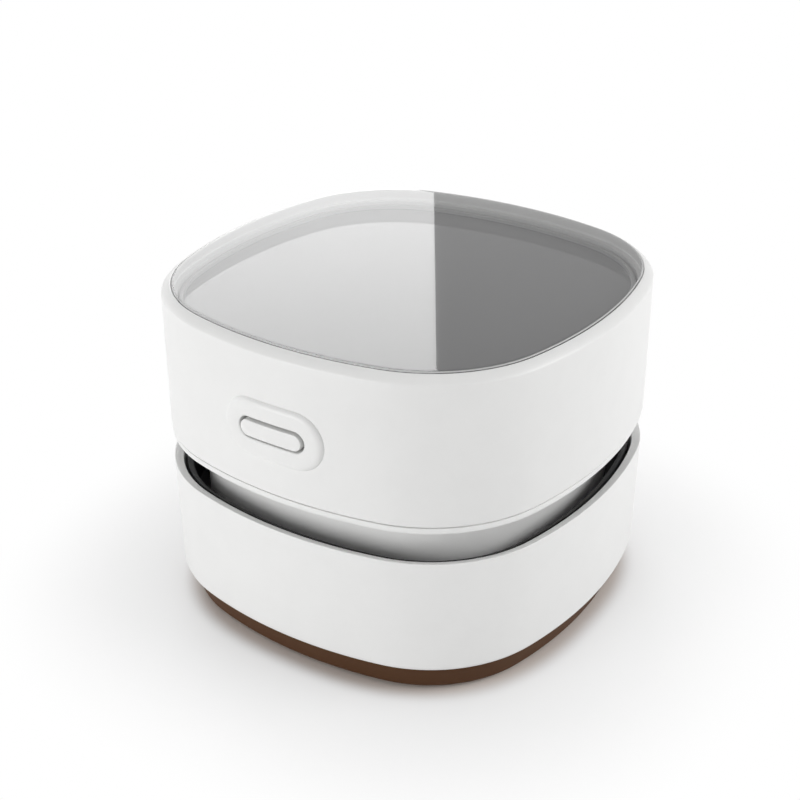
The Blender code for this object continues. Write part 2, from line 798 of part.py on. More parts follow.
def build_button():
    proud = BEZEL_PROUD + BUTTON_PROUD
    wall_inside = front_distance(BUTTON_FLANGE_L / 2, UPPER_DRAFT + UPPER_WALL)
    flange_front = wall_inside - CLEAR
    flange_back = flange_front - BUTTON_FLANGE_T
    round_in = 2 * BUTTON_ROUND
    middle_in = round_in * ROUND_SHARE
    sections = [
        front_section(BUTTON_L, BUTTON_W, lambda x: flange_front - BUTTON_FLANGE_T / 2),
        front_section(BUTTON_L, BUTTON_W, lambda x: front_distance(x) + proud - BUTTON_ROUND),
        front_section(BUTTON_L - middle_in, BUTTON_W - middle_in,
                      lambda x: front_distance(x) + proud - BUTTON_ROUND * ROUND_SHARE),
        front_section(BUTTON_L - round_in, BUTTON_W - round_in,
                      lambda x: front_distance(x) + proud),
    ]
    button = loft("button_cap", sections, "white_shell", strip_cap=True)
    add(button, front_prism("button_flange", BUTTON_FLANGE_L, BUTTON_FLANGE_W,
                            flange_back, flange_front))
    stem_end = flange_back - BUTTON_STEM_L
    add(button, rod("button_stem", BUTTON_STEM_R, -flange_back - BUTTON_FLANGE_T / 2, -stem_end,
                    centre=(0, BUTTON_Z), along="Y"))
    plunger_front = -stem_end + CLEAR
    switch_front = plunger_front + PLUNGER_OUT
    plunger = rod("switch_plunger", PLUNGER_R, plunger_front, plunger_front + PLUNGER_L,
                  "black_plastic", centre=(0, BUTTON_Z), along="Y")
    half = SWITCH_W / 2
    body = box("switch_body", (-half, switch_front, BUTTON_Z - half),
               (half, switch_front + SWITCH_D, BUTTON_Z + half), "black_plastic")
    cut(body, rod("plunger_hole", PLUNGER_R + CLEAR, switch_front - OVERRUN,
                  plunger_front + PLUNGER_L + BUTTON_TRAVEL + CLEAR / 2,
                  centre=(0, BUTTON_Z), along="Y"))
    board_front = switch_front + SWITCH_D + CLEAR
    box("switch_board", (-SWITCH_BOARD_W / 2, board_front, DECK_TOP + CLEAR),
        (SWITCH_BOARD_W / 2, board_front + SWITCH_BOARD_T, DECK_TOP + CLEAR + SWITCH_BOARD_H),
        "board_green")
    return [button, plunger], board_front


def build_lens_and_tray():
    edge = LIP_INSET + CLEAR
    bottom = SEAT_Z + CLEAR
    stations = [
        (edge, bottom),
        (edge, LENS_TOP - LENS_EDGE),
        (edge + LENS_EDGE, LENS_TOP),
    ]
    shell_loft("top_lens", stations, "clear_lens")
    outer = POCKET_INSET + CLEAR
    inside = outer + TRAY_RIM
    floor_top = TRAY_Z + TRAY_FLOOR
    stations = [
        (outer, TRAY_Z),
        (outer, floor_top + TRAY_DEPTH),
        (inside, floor_top + TRAY_DEPTH),
        (inside, floor_top),
    ]
    shell_loft("lens_tray", stations, "grey_tray")


def board_low():
    return DECK_TOP + POST_H + CLEAR


def socket_low():
    return board_low() + BOARD_T + CLEAR


def motor_low():
    return DECK_TOP + CLEAR + BRACKET_T + CLEAR


def ear_places():
    x = BRACKET_EAR_D * math.cos(BRACKET_EAR_TURN)
    y = BRACKET_EAR_D * math.sin(BRACKET_EAR_TURN)
    return [(-x, y), (x, -y)]


def build_chassis(switch_board_y):
    stations = [
        (STRIP_INSET, DECK_Z),
        (STRIP_INSET, DECK_TOP),
        (SPIGOT_INSET, DECK_TOP),
        (SPIGOT_INSET, DECK_TOP + SPIGOT_H),
        (SPIGOT_INSET + SPIGOT_WALL, DECK_TOP + SPIGOT_H),
        (SPIGOT_INSET + SPIGOT_WALL, DECK_TOP),
    ]
    chassis = shell_loft("chassis_plate", stations, "white_shell")
    inside_deck = DECK_TOP - STRIP_H / 2
    spots = [(sx * (BOARD_L / 2 - POST_R), BOARD_Y + sy * (BOARD_W / 2 - POST_R))
             for sx in (-1, 1) for sy in (-1, 1)]
    for k, spot in enumerate(spots):
        add(chassis, rod(f"board_post_{k}", POST_R, inside_deck, DECK_TOP + POST_H, centre=spot))
    for side in (-1, 1):
        near = side * (SWITCH_BOARD_W / 2 + CLEAR)
        far = near + side * RAIL_W
        middle = switch_board_y + SWITCH_BOARD_T / 2
        add(chassis, box(f"board_rail_{side}",
                         (min(near, far), middle - RAIL_D / 2, inside_deck),
                         (max(near, far), middle + RAIL_D / 2, DECK_TOP + RAIL_H)))
    cut(chassis, rod("shaft_hole", SHAFT_HOLE_R, DECK_Z - OVERRUN, DECK_TOP + OVERRUN,
                     steps=ROUND_STEPS))
    for k, spot in enumerate(diagonal_places(HOUSING_BOSS_D)):
        cut(chassis, rod(f"chassis_hole_{k}", SCREW_R + SCREW_GAP, DECK_Z - OVERRUN,
                         DECK_TOP + OVERRUN, centre=spot))
        screw_part(f"housing_screw_{k + 1}", DECK_TOP + CLEAR, HOUSING_SCREW_L, spot, up=False)
    for k, spot in enumerate(ear_places()):
        cut(chassis, rod(f"motor_hole_{k}", SCREW_R + SCREW_GAP, DECK_Z - OVERRUN,
                         DECK_TOP + OVERRUN, centre=spot))


def build_fan_housing():
    floor_top = FAN_FLOOR_Z + FAN_FLOOR
    stations = [
        (NECK_INSIDE, FAN_FLOOR_Z),
        (NECK_INSIDE, NECK_BOTTOM),
        (NECK_INSET, NECK_BOTTOM),
        (NECK_INSET, NECK_TOP),
        (NECK_INSIDE, NECK_TOP),
        (NECK_INSIDE, floor_top),
    ]
    housing = shell_loft("fan_housing", stations, "white_shell")
    add(housing, rod("inlet_lip", INLET_R + INLET_LIP_W, floor_top - FAN_FLOOR / 2,
                     floor_top + INLET_LIP_H, steps=ROUND_STEPS))
    for k, spot in enumerate(diagonal_places(HOUSING_BOSS_D)):
        add(housing, rod(f"housing_boss_{k}", HOUSING_BOSS_R, floor_top - FAN_FLOOR / 2, NECK_TOP,
                         centre=spot))
    cut(housing, rod("inlet", INLET_R, FAN_FLOOR_Z - OVERRUN, floor_top + INLET_LIP_H + OVERRUN,
                     steps=ROUND_STEPS))
    for k, spot in enumerate(diagonal_places(HOUSING_BOSS_D)):
        cut(housing, rod(f"housing_pilot_{k}", SCREW_R + SCREW_GAP,
                         DECK_TOP + CLEAR - HOUSING_SCREW_L - CLEAR, NECK_TOP + OVERRUN,
                         centre=spot))
    vent_top = NECK_TOP - VENT_DROP
    for k in range(VENT_COUNT):
        x = VENT_PITCH * (k - (VENT_COUNT - 1) / 2)
        cut(housing, box(f"vent_{k}", (x - VENT_W / 2, HALF - NECK_INSIDE * 2, vent_top - VENT_H),
                         (x + VENT_W / 2, HALF, vent_top)))


def build_filter():
    outer = NECK_INSIDE + CLEAR
    low, top = FRAME_Z, FRAME_Z + FRAME_H
    rim = outer + FRAME_RIM
    frame = shell_loft("filter_frame", [(outer, low), (outer, top), (rim, top), (rim, low)],
                       "grey_tray", ring=True)
    reach = HALF - outer - FRAME_RIM / 2
    for k, size in enumerate(((reach, FRAME_BAR_W / 2), (FRAME_BAR_W / 2, reach))):
        add(frame, box(f"frame_bar_{k}", (-size[0], -size[1], low),
                       (size[0], size[1], low + FRAME_BAR_H)))
    pad_low = low + FRAME_BAR_H + CLEAR
    shell_loft("filter_pad", [(rim + CLEAR, pad_low), (rim + CLEAR, pad_low + PAD_T)],
               "filter_grey")
    stations = [
        (outer, SEAL_Z),
        (outer, SEAL_Z + SEAL_H),
        (outer + SEAL_W, SEAL_Z + SEAL_H),
        (outer + SEAL_W, SEAL_Z),
    ]
    shell_loft("seal_ring", stations, "rubber", ring=True)


def build_impeller():
    """Backing disc and hub turned in one, with backward-curved blades joined under the disc."""
    top = DECK_Z - FAN_TOP_GAP
    under = top - FAN_DISC
    hub_low = under - BLADE_IN_H
    profile = [
        (0, top),
        (FAN_R, top),
        (FAN_R, under),
        (HUB_R + HUB_NOSE, under),
        (HUB_R, under - HUB_NOSE),
        (HUB_R, hub_low + HUB_NOSE),
        (HUB_R - HUB_NOSE, hub_low),
        (0, hub_low),
    ]
    impeller = turned("impeller", profile, "fan_plastic", 2 * ROUND_STEPS)
    for blade in range(BLADE_COUNT):
        start = 2 * math.pi * blade / BLADE_COUNT
        sections = []
        for step in range(BLADE_STEPS + 1):
            share = step / BLADE_STEPS
            radius = BLADE_IN_R + (FAN_R - BLADE_IN_R - BLADE_T / 2) * share
            angle = start - BLADE_SWEEP * share**BLADE_CURL_SHARE
            drop = BLADE_IN_H + (BLADE_OUT_H - BLADE_IN_H) * share
            half = BLADE_T / 2 / radius
            near = (radius * math.cos(angle - half), radius * math.sin(angle - half))
            far = (radius * math.cos(angle + half), radius * math.sin(angle + half))
            sections.append([(*near, under - drop), (*far, under - drop),
                             (*far, under + BLADE_ROOT), (*near, under + BLADE_ROOT)])
        add(impeller, loft(f"blade_{blade}", sections))
    cut(impeller, rod("hub_bore", SHAFT_R + SHAFT_GAP, under - BLADE_IN_H + HUB_NOSE,
                      top + OVERRUN))
    shaft_low = under - BLADE_IN_H + HUB_NOSE + CLEAR
    shaft = rod("motor_shaft", SHAFT_R, shaft_low, motor_low() + SHAFT_IN_MOTOR, "steel")
    return [impeller, shaft]


def build_motor():
    low = DECK_TOP + CLEAR
    bracket = rod("motor_bracket", BRACKET_R, low, low + BRACKET_T, "black_plastic", ROUND_STEPS)
    cut(bracket, rod("bracket_bore", BRACKET_BORE_R, low - OVERRUN, low + BRACKET_T + OVERRUN,
                     steps=ROUND_STEPS))
    for k, spot in enumerate(ear_places()):
        ear = rod(f"ear_{k}", BRACKET_EAR_R, low + BRACKET_EAR_STEP,
                  low + BRACKET_T - BRACKET_EAR_STEP, centre=spot)
        cut(ear, rod(f"ear_hole_{k}", SCREW_R + SCREW_GAP, low - OVERRUN,
                     low + BRACKET_T + OVERRUN, centre=spot))
        add(bracket, ear)
        screw_part(f"motor_screw_{k + 1}", low + BRACKET_T - BRACKET_EAR_STEP + CLEAR,
                   MOTOR_SCREW_L, spot, up=False)
    can_low = motor_low()
    can_top = can_low + MOTOR_H
    profile = [
        (0, can_top),
        (MOTOR_R - MOTOR_ROUND, can_top),
        (MOTOR_R, can_top - MOTOR_ROUND),
        (MOTOR_R, can_low + MOTOR_ROUND),
        (MOTOR_R - MOTOR_ROUND, can_low),
        (0, can_low),
    ]
    can = turned("motor_can", profile, "steel", 2 * ROUND_STEPS)
    cut(can, rod("motor_bore", SHAFT_R + CLEAR, can_low - OVERRUN, can_low + SHAFT_IN_MOTOR + CLEAR))
    cap_low = can_top + CLEAR
    profile = [
        (0, cap_low + MOTOR_CAP_H),
        (MOTOR_CAP_R - MOTOR_ROUND / 2, cap_low + MOTOR_CAP_H),
        (MOTOR_CAP_R, cap_low + MOTOR_CAP_H - MOTOR_ROUND / 2),
        (MOTOR_CAP_R, cap_low),
        (0, cap_low),
    ]
    turned("motor_end_cap", profile, "black_plastic", 2 * ROUND_STEPS)


def build_battery():
    half = CELL_L / 2
    profile = [
        (0, half),
        (CELL_TIP_R, half),
        (CELL_TIP_R, half - CELL_TIP_H),
        (CELL_R - CELL_ROUND, half - CELL_TIP_H),
        (CELL_R, half - CELL_TIP_H - CELL_ROUND),
        (CELL_R, -half + CELL_ROUND),
        (CELL_R - CELL_ROUND, -half),
        (0, -half),
    ]
    turned("battery_cell", profile, "cell_wrap", ROUND_STEPS, (0, CELL_Y, CELL_Z), "X")
    inside = CELL_R + CLEAR
    arc = []
    steps = ROUND_STEPS // 2
    for radius, order in ((CRADLE_R, range(steps + 1)), (inside, range(steps, -1, -1))):
        for step in order:
            angle = -math.pi * step / steps
            arc.append((CELL_Y + radius * math.cos(angle), CELL_Z + radius * math.sin(angle)))
    ends = [[(x, y, z) for y, z in arc] for x in (-CRADLE_L / 2, CRADLE_L / 2)]
    cradle = loft("battery_cradle", ends, "black_plastic")
    for side in (-1, 1):
        far = side * (CRADLE_L / 2 - LEG_INSET)
        near = far - side * LEG_W
        leg = box(f"cradle_leg_{side}",
                  (min(near, far), CELL_Y - LEG_D / 2, DECK_TOP + CLEAR),
                  (max(near, far), CELL_Y + LEG_D / 2, CELL_Z - inside + CRADLE_WALL))
        cut(leg, rod(f"leg_notch_{side}", inside + CRADLE_WALL / 2, -CRADLE_L, CRADLE_L,
                     steps=ROUND_STEPS, centre=(CELL_Y, CELL_Z), along="X"))
        add(cradle, leg)


def build_circuit():
    low = board_low()
    top = low + BOARD_T
    box("circuit_board", (-BOARD_L / 2, BOARD_Y - BOARD_W / 2, low),
        (BOARD_L / 2, BOARD_Y + BOARD_W / 2, top), "board_green")
    box("control_chip", (-BOARD_L / 4 - CHIP_W / 2, BOARD_Y - CHIP_W / 2, top + CLEAR / 3),
        (-BOARD_L / 4 + CHIP_W / 2, BOARD_Y + CHIP_W / 2, top + CLEAR / 3 + CHIP_T),
        "black_plastic")
    mouth = HALF - SOCKET_RECESS
    middle = socket_low() + SOCKET_H / 2
    outer = slot_outline(SOCKET_W, SOCKET_H)
    inner = slot_outline(SOCKET_W - 2 * SOCKET_WALL, SOCKET_H - 2 * SOCKET_WALL)
    sections = [[(x, y, middle + z) for x, z in outer] for y in (mouth - SOCKET_D, mouth)]
    socket = loft("charge_socket", sections, "steel")
    bore = [[(x, y, middle + z) for x, z in inner]
            for y in (mouth - SOCKET_DEPTH, mouth + OVERRUN)]
    cut(socket, loft("socket_bore", bore))


def smooth_route(points):
    """Places along a smooth curve through the route's own points, about one spacing apart."""
    points = [Vector(point) for point in points]
    padded = [2 * points[0] - points[1], *points, 2 * points[-1] - points[-2]]
    route = []
    for before, start, end, after in zip(padded, padded[1:], padded[2:], padded[3:]):
        steps = max(1, round((end - start).length / LEAD_SPACING))
        for step in range(steps):
            t = step / steps
            route.append((2 * start + (end - before) * t
                          + (2 * before - 5 * start + 4 * end - after) * t**2
                          + (3 * start - before - 3 * end + after) * t**3) / 2)
    return [*route, points[-1]]


def lead(name, points, colour):
    curve = bpy.data.curves.new(name, "CURVE")
    curve.dimensions = "3D"
    curve.bevel_depth = LEAD_R
    curve.bevel_resolution = 1
    curve.use_fill_caps = True
    spline = curve.splines.new("POLY")
    route = smooth_route(points)
    spline.points.add(len(route) - 1)
    for point, spot in zip(spline.points, route):
        point.co = (*spot, 1)
    curve.materials.append(material(colour))
    PARTS.objects.link(bpy.data.objects.new(name, curve))


def build_leads():
    """Each lead leaves its terminal square to it, and comes down square to the board."""
    end_z = board_low() + BOARD_T + CLEAR
    turn_z = end_z + LEAD_BEND
    motor_side = math.sqrt(MOTOR_R**2 - MOTOR_LEAD_X**2)
    cap_side = math.sqrt(MOTOR_CAP_R**2 - MOTOR_LEAD_X**2)
    cradle_side = CELL_Y - CRADLE_R
    run_y = (motor_side + cradle_side) / 2
    end_x = BOARD_L / 2 - CELL_LEAD_IN_X
    end_y = BOARD_Y + BOARD_W / 2 - CELL_LEAD_IN_Y
    motor_end_y = BOARD_Y - BOARD_W / 2 + MOTOR_LEAD_IN_Y
    cap_z = motor_low() + MOTOR_H + CLEAR + MOTOR_CAP_H / 2
    cell_end = CELL_L / 2 + CLEAR
    out = cell_end + LEAD_BEND
    for side, colour in ((1, "red"), (-1, "black")):
        lead(f"battery_lead_{colour}", [
            (side * cell_end, CELL_Y, CELL_Z),
            (side * out, CELL_Y, CELL_Z),
            (side * (out + LEAD_R), CELL_Y + CELL_R / 3, CELL_Z - CELL_R / 2),
            (side * out, CELL_Y + CELL_R * 2 / 3, CELL_Z - CELL_R),
            (side * (end_x + out) / 2, end_y, turn_z + 2 * LEAD_BEND),
            (side * end_x, end_y, turn_z),
            (side * end_x, end_y, end_z),
        ], f"lead_{colour}")
        lead(f"motor_lead_{colour}", [
            (side * MOTOR_LEAD_X, cap_side + CLEAR + LEAD_R / 4, cap_z),
            (side * MOTOR_LEAD_X, run_y - LEAD_R, cap_z),
            (side * MOTOR_LEAD_X, run_y, cap_z - LEAD_BEND),
            (side * MOTOR_LEAD_X, run_y, CELL_Z),
            (side * MOTOR_LEAD_X, run_y, CELL_Z - CELL_R),
            (side * MOTOR_LEAD_END_X, motor_end_y, turn_z),
            (side * MOTOR_LEAD_END_X, motor_end_y, end_z),
        ], f"lead_{colour}")


def parent_to(name, children, spot):
    """Hang pieces on an empty that stands on their joint's axis."""
    empty = bpy.data.objects.new(name, None)
    empty.location = spot
    PARTS.objects.link(empty)
    bpy.context.view_layer.update()
    for child in children:
        child.parent = empty
        child.matrix_parent_inverse = empty.matrix_world.inverted()
    return empty


clear_scene()
PARTS = new_collection("desk_vacuum")
CUTTERS = new_collection("cutters")
build_lower_shell()
build_dust_bowl()
build_bowl_collar()
build_base_plate()
build_brush("brush_strip_front", -BRUSH_Y)
build_brush("brush_strip_rear", BRUSH_Y)
cup_pieces = set(PARTS.objects)
build_upper_shell()
build_lens_and_tray()
button_pieces, switch_board_front = build_button()
build_chassis(switch_board_front)
build_fan_housing()
build_filter()
fan_pieces = build_impeller()
build_motor()
build_battery()
build_circuit()
build_leads()
motor_unit = set(PARTS.objects) - cup_pieces - set(fan_pieces) - set(button_pieces)
lift = parent_to("motor_unit_lift", sorted(motor_unit, key=lambda part: part.name), (0, 0, 0))
spin = parent_to("impeller_spin", fan_pieces, (0, 0, DECK_Z))
press = parent_to("button_press", button_pieces, (0, -HALF, BUTTON_Z))
for carried in (spin, press):
    carried.parent = lift
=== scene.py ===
import math

import bmesh
import bpy
from mathutils import Matrix, Vector


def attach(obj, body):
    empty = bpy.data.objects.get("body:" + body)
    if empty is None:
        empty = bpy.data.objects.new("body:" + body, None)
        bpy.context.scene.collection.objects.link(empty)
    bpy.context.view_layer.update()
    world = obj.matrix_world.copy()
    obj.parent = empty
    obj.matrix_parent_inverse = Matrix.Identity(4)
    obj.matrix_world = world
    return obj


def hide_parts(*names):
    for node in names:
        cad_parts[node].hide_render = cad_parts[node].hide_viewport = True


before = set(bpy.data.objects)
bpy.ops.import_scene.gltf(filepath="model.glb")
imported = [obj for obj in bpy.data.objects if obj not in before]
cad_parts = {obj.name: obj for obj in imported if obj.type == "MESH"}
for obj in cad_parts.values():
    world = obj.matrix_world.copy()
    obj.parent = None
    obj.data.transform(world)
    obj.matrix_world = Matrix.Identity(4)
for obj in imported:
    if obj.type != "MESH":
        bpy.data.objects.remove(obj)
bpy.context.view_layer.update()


# The lower shell is the white outer wall of the dust cup. It is injection moulded in ABS with a
# fine satin texture, and has a flat rim, a rolled foot, and a flange inside that carries the bowl.
HALF = 0.0425
SIDE_ARC = 0.0831
CORNER_ARC = 0.0274
SIDE_CENTRE = HALF - SIDE_ARC
ARC_GAP = SIDE_ARC - CORNER_ARC
CORNER_CENTRE = (SIDE_CENTRE + math.sqrt(2 * ARC_GAP**2 - SIDE_CENTRE**2)) / 2
SIDE_TURN = math.atan2(CORNER_CENTRE, CORNER_CENTRE - SIDE_CENTRE)
WELD = 0.00001
RIM = 0.0296


class Wire:
    """A shader value; sums of wires add their Math nodes."""

    def __init__(self, tree, socket):
        self.tree = tree
        self.socket = socket

    def node(self, kind, settings=None, inputs=None, output=0):
        made = self.tree.nodes.new(kind)
        for name, value in (settings or {}).items():
            if name == "stops":
                ramp = made.color_ramp
                while len(ramp.elements) < len(value):
                    ramp.elements.new(1.0)
                for element, (place, shade) in zip(ramp.elements, value):
                    element.position = place
                    element.color = (shade, shade, shade, 1)
            else:
                setattr(made, name, value)
        for name, value in (inputs or {}).items():
            if isinstance(value, Wire):
                self.tree.links.new(value.socket, made.inputs[name])
            else:
                made.inputs[name].default_value = value
        return Wire(self.tree, made.outputs[output])

    def math(self, operation, first, second=0.0, clamp=False):
        return self.node("ShaderNodeMath", {"operation": operation, "use_clamp": clamp},
                         {0: first, 1: second})

    def __add__(self, other):
        return self.math("ADD", self, other)

    __radd__ = __add__

    def __mul__(self, other):
        return self.math("MULTIPLY", self, other)

    __rmul__ = __mul__

    def __sub__(self, other):
        return self.math("SUBTRACT", self, other)

    def __rsub__(self, other):
        return self.math("SUBTRACT", other, self)

    def band(self, low, high):
        """0 under low, 1 over high, and smooth between."""
        return self.node("ShaderNodeMapRange", {"interpolation_type": "SMOOTHSTEP"},
                         {"Value": self, "From Min": low, "From Max": high})

    def noise(self, scale, detail=2.0, rough=0.5):
        return self.node("ShaderNodeTexNoise", None,
                         {"Vector": self, "Scale": scale, "Detail": detail, "Roughness": rough})

    def blend(self, first, second):
        """A colour between two others, with this wire as the share of the second."""
        return self.node("ShaderNodeMix", {"data_type": "RGBA"},
                         {"Factor": self, 6: (*first, 1) if isinstance(first, tuple) else first,
                          7: (*second, 1) if isinstance(second, tuple) else second}, output=2)

    def axis(self, name):
        return self.node("ShaderNodeSeparateXYZ", None, {0: self}, output="XYZ".index(name))


def new_finish(name, colour, roughness, **fixed):
    """Start a finish: its material, its Principled shader and the place on the piece in metres."""
    made = bpy.data.materials.new(name)
    made.use_nodes = True
    tree = made.node_tree
    shader = tree.nodes["Principled BSDF"]
    shader.inputs["Base Color"].default_value = (*colour, 1)
    shader.inputs["Roughness"].default_value = roughness
    for socket, value in fixed.items():
        shader.inputs[socket.replace("_", " ")].default_value = value
    place = tree.nodes.new("ShaderNodeTexCoord")
    return made, shader, Wire(tree, place.outputs["Object"])


def feed(shader, **wires):
    for socket, wire in wires.items():
        wire.tree.links.new(wire.socket, shader.inputs[socket.replace("_", " ")])


def relief(height, depth):
    """A bump from a wire that runs from 0 to 1, with its real depth in metres."""
    return height.node("ShaderNodeBump", None,
                       {"Strength": 1.0, "Distance": depth, "Height": height})


def moulded(name, colour, roughness, grain, depth, spread=0.04, **fixed):
    """Moulded plastic: spark-eroded grain, slow waves of shrinkage, faint handling marks."""
    made, shader, place = new_finish(name, colour, roughness, **fixed)
    fine = place.noise(1 / grain, 3.0, 0.6)
    waves = place.noise(55.0, 1.0)
    marks = place.noise(140.0, 4.0, 0.65)
    darker = tuple(part * 0.985 for part in colour)
    feed(shader,
         Base_Color=marks.band(0.35, 0.75).blend(colour, darker),
         Roughness=marks * spread + fine * spread + (roughness - spread),
         Normal=relief(fine + waves * 4.0, depth))
    return made


def start_piece():
    if bpy.context.object and bpy.context.object.mode != "OBJECT":
        bpy.ops.object.mode_set(mode="OBJECT")
    bpy.ops.object.select_all(action="DESELECT")


def name_piece(name):
    piece = bpy.context.object
    piece.name = name
    piece.data.name = name
    return piece


def pick(piece, test):
    """Select the points of a piece in edit mode that pass a test, with their edges and faces."""
    bpy.ops.mesh.select_mode(type="VERT")
    bpy.ops.mesh.select_all(action="DESELECT")
    mesh = bmesh.from_edit_mesh(piece.data)
    for point in mesh.verts:
        if test(point.co):
            point.select = True
    mesh.select_flush(True)
    bmesh.update_edit_mesh(piece.data)


def open_section(piece, count):
    """Drop the edge between the first and the last point of a drawn section."""
    bpy.ops.mesh.select_mode(type="EDGE")
    bpy.ops.mesh.select_all(action="DESELECT")
    mesh = bmesh.from_edit_mesh(piece.data)
    mesh.verts.ensure_lookup_table()
    mesh.edges.get((mesh.verts[0], mesh.verts[count - 1])).select = True
    bmesh.update_edit_mesh(piece.data)
    bpy.ops.mesh.delete(type="EDGE")


def sweep_wall(name, section, rounds=(), solid=False, side_steps=10, corner_steps=24):
    """Draw a wall's section of inset and height, round its corners, and spin it round the body.

    A solid piece has an open section whose two ends close with flat faces.
    """
    start_piece()
    bpy.ops.mesh.primitive_circle_add(vertices=len(section), radius=RIM)
    wall = name_piece(name)
    for point, (inset, height) in zip(wall.data.vertices, section):
        point.co = (HALF - inset, 0, height)
    bpy.ops.object.mode_set(mode="EDIT")
    if solid:
        open_section(wall, len(section))
    for corner, radius, steps in rounds:
        inset, height = section[corner]
        spot = Vector((HALF - inset, 0, height))
        pick(wall, lambda co, spot=spot: (co - spot).length < WELD)
        bpy.ops.mesh.bevel(offset=radius, segments=steps, affect="VERTICES")
    bpy.ops.mesh.select_all(action="SELECT")
    corner_turn = math.pi / 2 - 2 * SIDE_TURN
    for centre, angle, steps in (((SIDE_CENTRE, 0, 0), SIDE_TURN, side_steps),
                                 ((CORNER_CENTRE, CORNER_CENTRE, 0), corner_turn, corner_steps),
                                 ((0, SIDE_CENTRE, 0), SIDE_TURN, side_steps)):
        bpy.ops.mesh.spin(steps=steps, angle=angle, center=centre, axis=(0, 0, -1))
    for angle in (math.pi / 2, math.pi):
        bpy.ops.mesh.select_all(action="SELECT")
        bpy.ops.mesh.duplicate()
        bpy.ops.transform.rotate(value=angle, orient_axis="Z", center_override=(0, 0, 0))
    close_up(wall)
    return wall


def close_up(piece):
    """Weld what meets, close flat ends, and turn all faces outwards."""
    bpy.ops.mesh.select_all(action="SELECT")
    bpy.ops.mesh.remove_doubles(threshold=WELD)
    bpy.ops.mesh.select_all(action="SELECT")
    bpy.ops.mesh.fill_holes(sides=0)
    bpy.ops.mesh.select_all(action="SELECT")
    bpy.ops.mesh.normals_make_consistent(inside=False)
    bpy.ops.object.mode_set(mode="OBJECT")


def finish_piece(piece, finish, body, *nodes, slot=None, angle=32):
    """Smooth a piece, give it its finish, and hang it on its body in place of its CAD solids."""
    start_piece()
    bpy.context.view_layer.objects.active = piece
    piece.select_set(True)
    bpy.ops.object.shade_smooth_by_angle(angle=math.radians(angle))
    piece.data.materials.clear()
    piece.data.materials.append(finish)
    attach(piece, body)
    if nodes:
        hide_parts(*nodes)
    return piece


def combine(piece, other, operation="DIFFERENCE"):
    """Cut another shape out of a piece, or join it on, and drop it."""
    start_piece()
    bpy.context.view_layer.objects.active = piece
    piece.select_set(True)
    modifier = piece.modifiers.new("combine", "BOOLEAN")
    modifier.operation = operation
    modifier.solver = "EXACT"
    modifier.object = other
    bpy.ops.object.modifier_apply(modifier=modifier.name)
    bpy.data.objects.remove(other)


white = moulded("white_satin_plastic", (0.83, 0.83, 0.822), 0.36, 0.00022, 0.000004)

cup_foot = [(0.0004 + 0.0013 * (1 - math.cos(math.pi / 2 * k / 6)),
             0.0061 + 0.0013 * (1 - math.sin(math.pi / 2 * k / 6))) for k in range(7)]
lower_shell = sweep_wall("cup_wall", [
    (0.0017, RIM - 0.00055), (0, RIM), *cup_foot, (0.0034, 0.0061), (0.0034, 0.0078),
    (0.0030, 0.0078), (0.0021, 0.0087),
], rounds=((0, 0.0002, 2), (1, 0.0002, 4), (9, 0.0002, 2)))
finish_piece(lower_shell, white, "dust_cup", "lower_shell", slot="white_shell")


# The collar is a black moulding that closes the top of the bowl: a trough inside the shell's rim,
# and a ring in its middle over which the neck of the motor unit slides.
black = moulded("black_satin_plastic", (0.012, 0.012, 0.013), 0.56, 0.00018, 0.000006, 0.08,
                Specular_IOR_Level=0.22)
collar = sweep_wall("trough_collar", [
    (0.0024, 0.0190), (0.0024, 0.02865), (0.0036, 0.0280), (0.0036, 0.0202), (0.0083, 0.0202),
    (0.0083, 0.0235), (0.0095, 0.0235), (0.0095, 0.0190), (0.0049, 0.0190), (0.0049, 0.0175),
    (0.0039, 0.0175), (0.0039, 0.0190),
], rounds=((1, 0.0003, 3), (2, 0.0003, 3), (3, 0.0006, 4), (4, 0.0006, 4), (5, 0.0003, 3),
           (6, 0.0003, 3)))
finish_piece(collar, black, "dust_cup", "bowl_collar", slot="black_plastic")


# The dust bowl is a deep black moulding with a chamfered floor. Its inlet tube rises from the slot
# so that dust falls beside it and stays in, and four bosses take the screws of the base.
BOSS_REACH = 0.0280 / math.sqrt(2)
PILOT_RADIUS = 0.0011
NOZZLE_LENGTH = 0.0360
NOZZLE_WIDTH = 0.0120


def rounded_block(name, length, width, corner, low, high, round_top=0.0, steps=10):
    """A block along Z from a cube with its four upright edges bevelled."""
    start_piece()
    bpy.ops.mesh.primitive_cube_add(size=1, location=(0, 0, (low + high) / 2),
                                    scale=(length, width, high - low))
    bpy.ops.object.transform_apply(location=True, rotation=False, scale=True)
    block = name_piece(name)
    bpy.ops.object.mode_set(mode="EDIT")
    bpy.ops.mesh.select_mode(type="EDGE")
    bpy.ops.mesh.select_all(action="DESELECT")
    mesh = bmesh.from_edit_mesh(block.data)
    for edge in mesh.edges:
        first, second = edge.verts
        if abs(first.co.z - second.co.z) > (high - low) / 2:
            edge.select = True
    bmesh.update_edit_mesh(block.data)
    bpy.ops.mesh.bevel(offset=corner, segments=steps, affect="EDGES")
    if round_top:
        pick(block, lambda co: co.z > high - WELD)
        bpy.ops.mesh.bevel(offset=round_top, segments=3, affect="EDGES")
    close_up(block)
    return block


def pill_block(name, length, width, low, high, round_top=0.0, steps=14):
    """A block along Z with fully round ends."""
    return rounded_block(name, length, width, width / 2 - WELD, low, high, round_top, steps)


def upright_rod(name, radius, low, high, spot=(0, 0), sides=32):
    start_piece()
    bpy.ops.mesh.primitive_cylinder_add(vertices=sides, radius=radius, depth=high - low,
                                        location=(*spot, (low + high) / 2))
    bpy.ops.object.transform_apply(location=True)
    return name_piece(name)


def diagonal_spots(reach):
    return [(reach, reach), (-reach, reach), (-reach, -reach), (reach, -reach)]


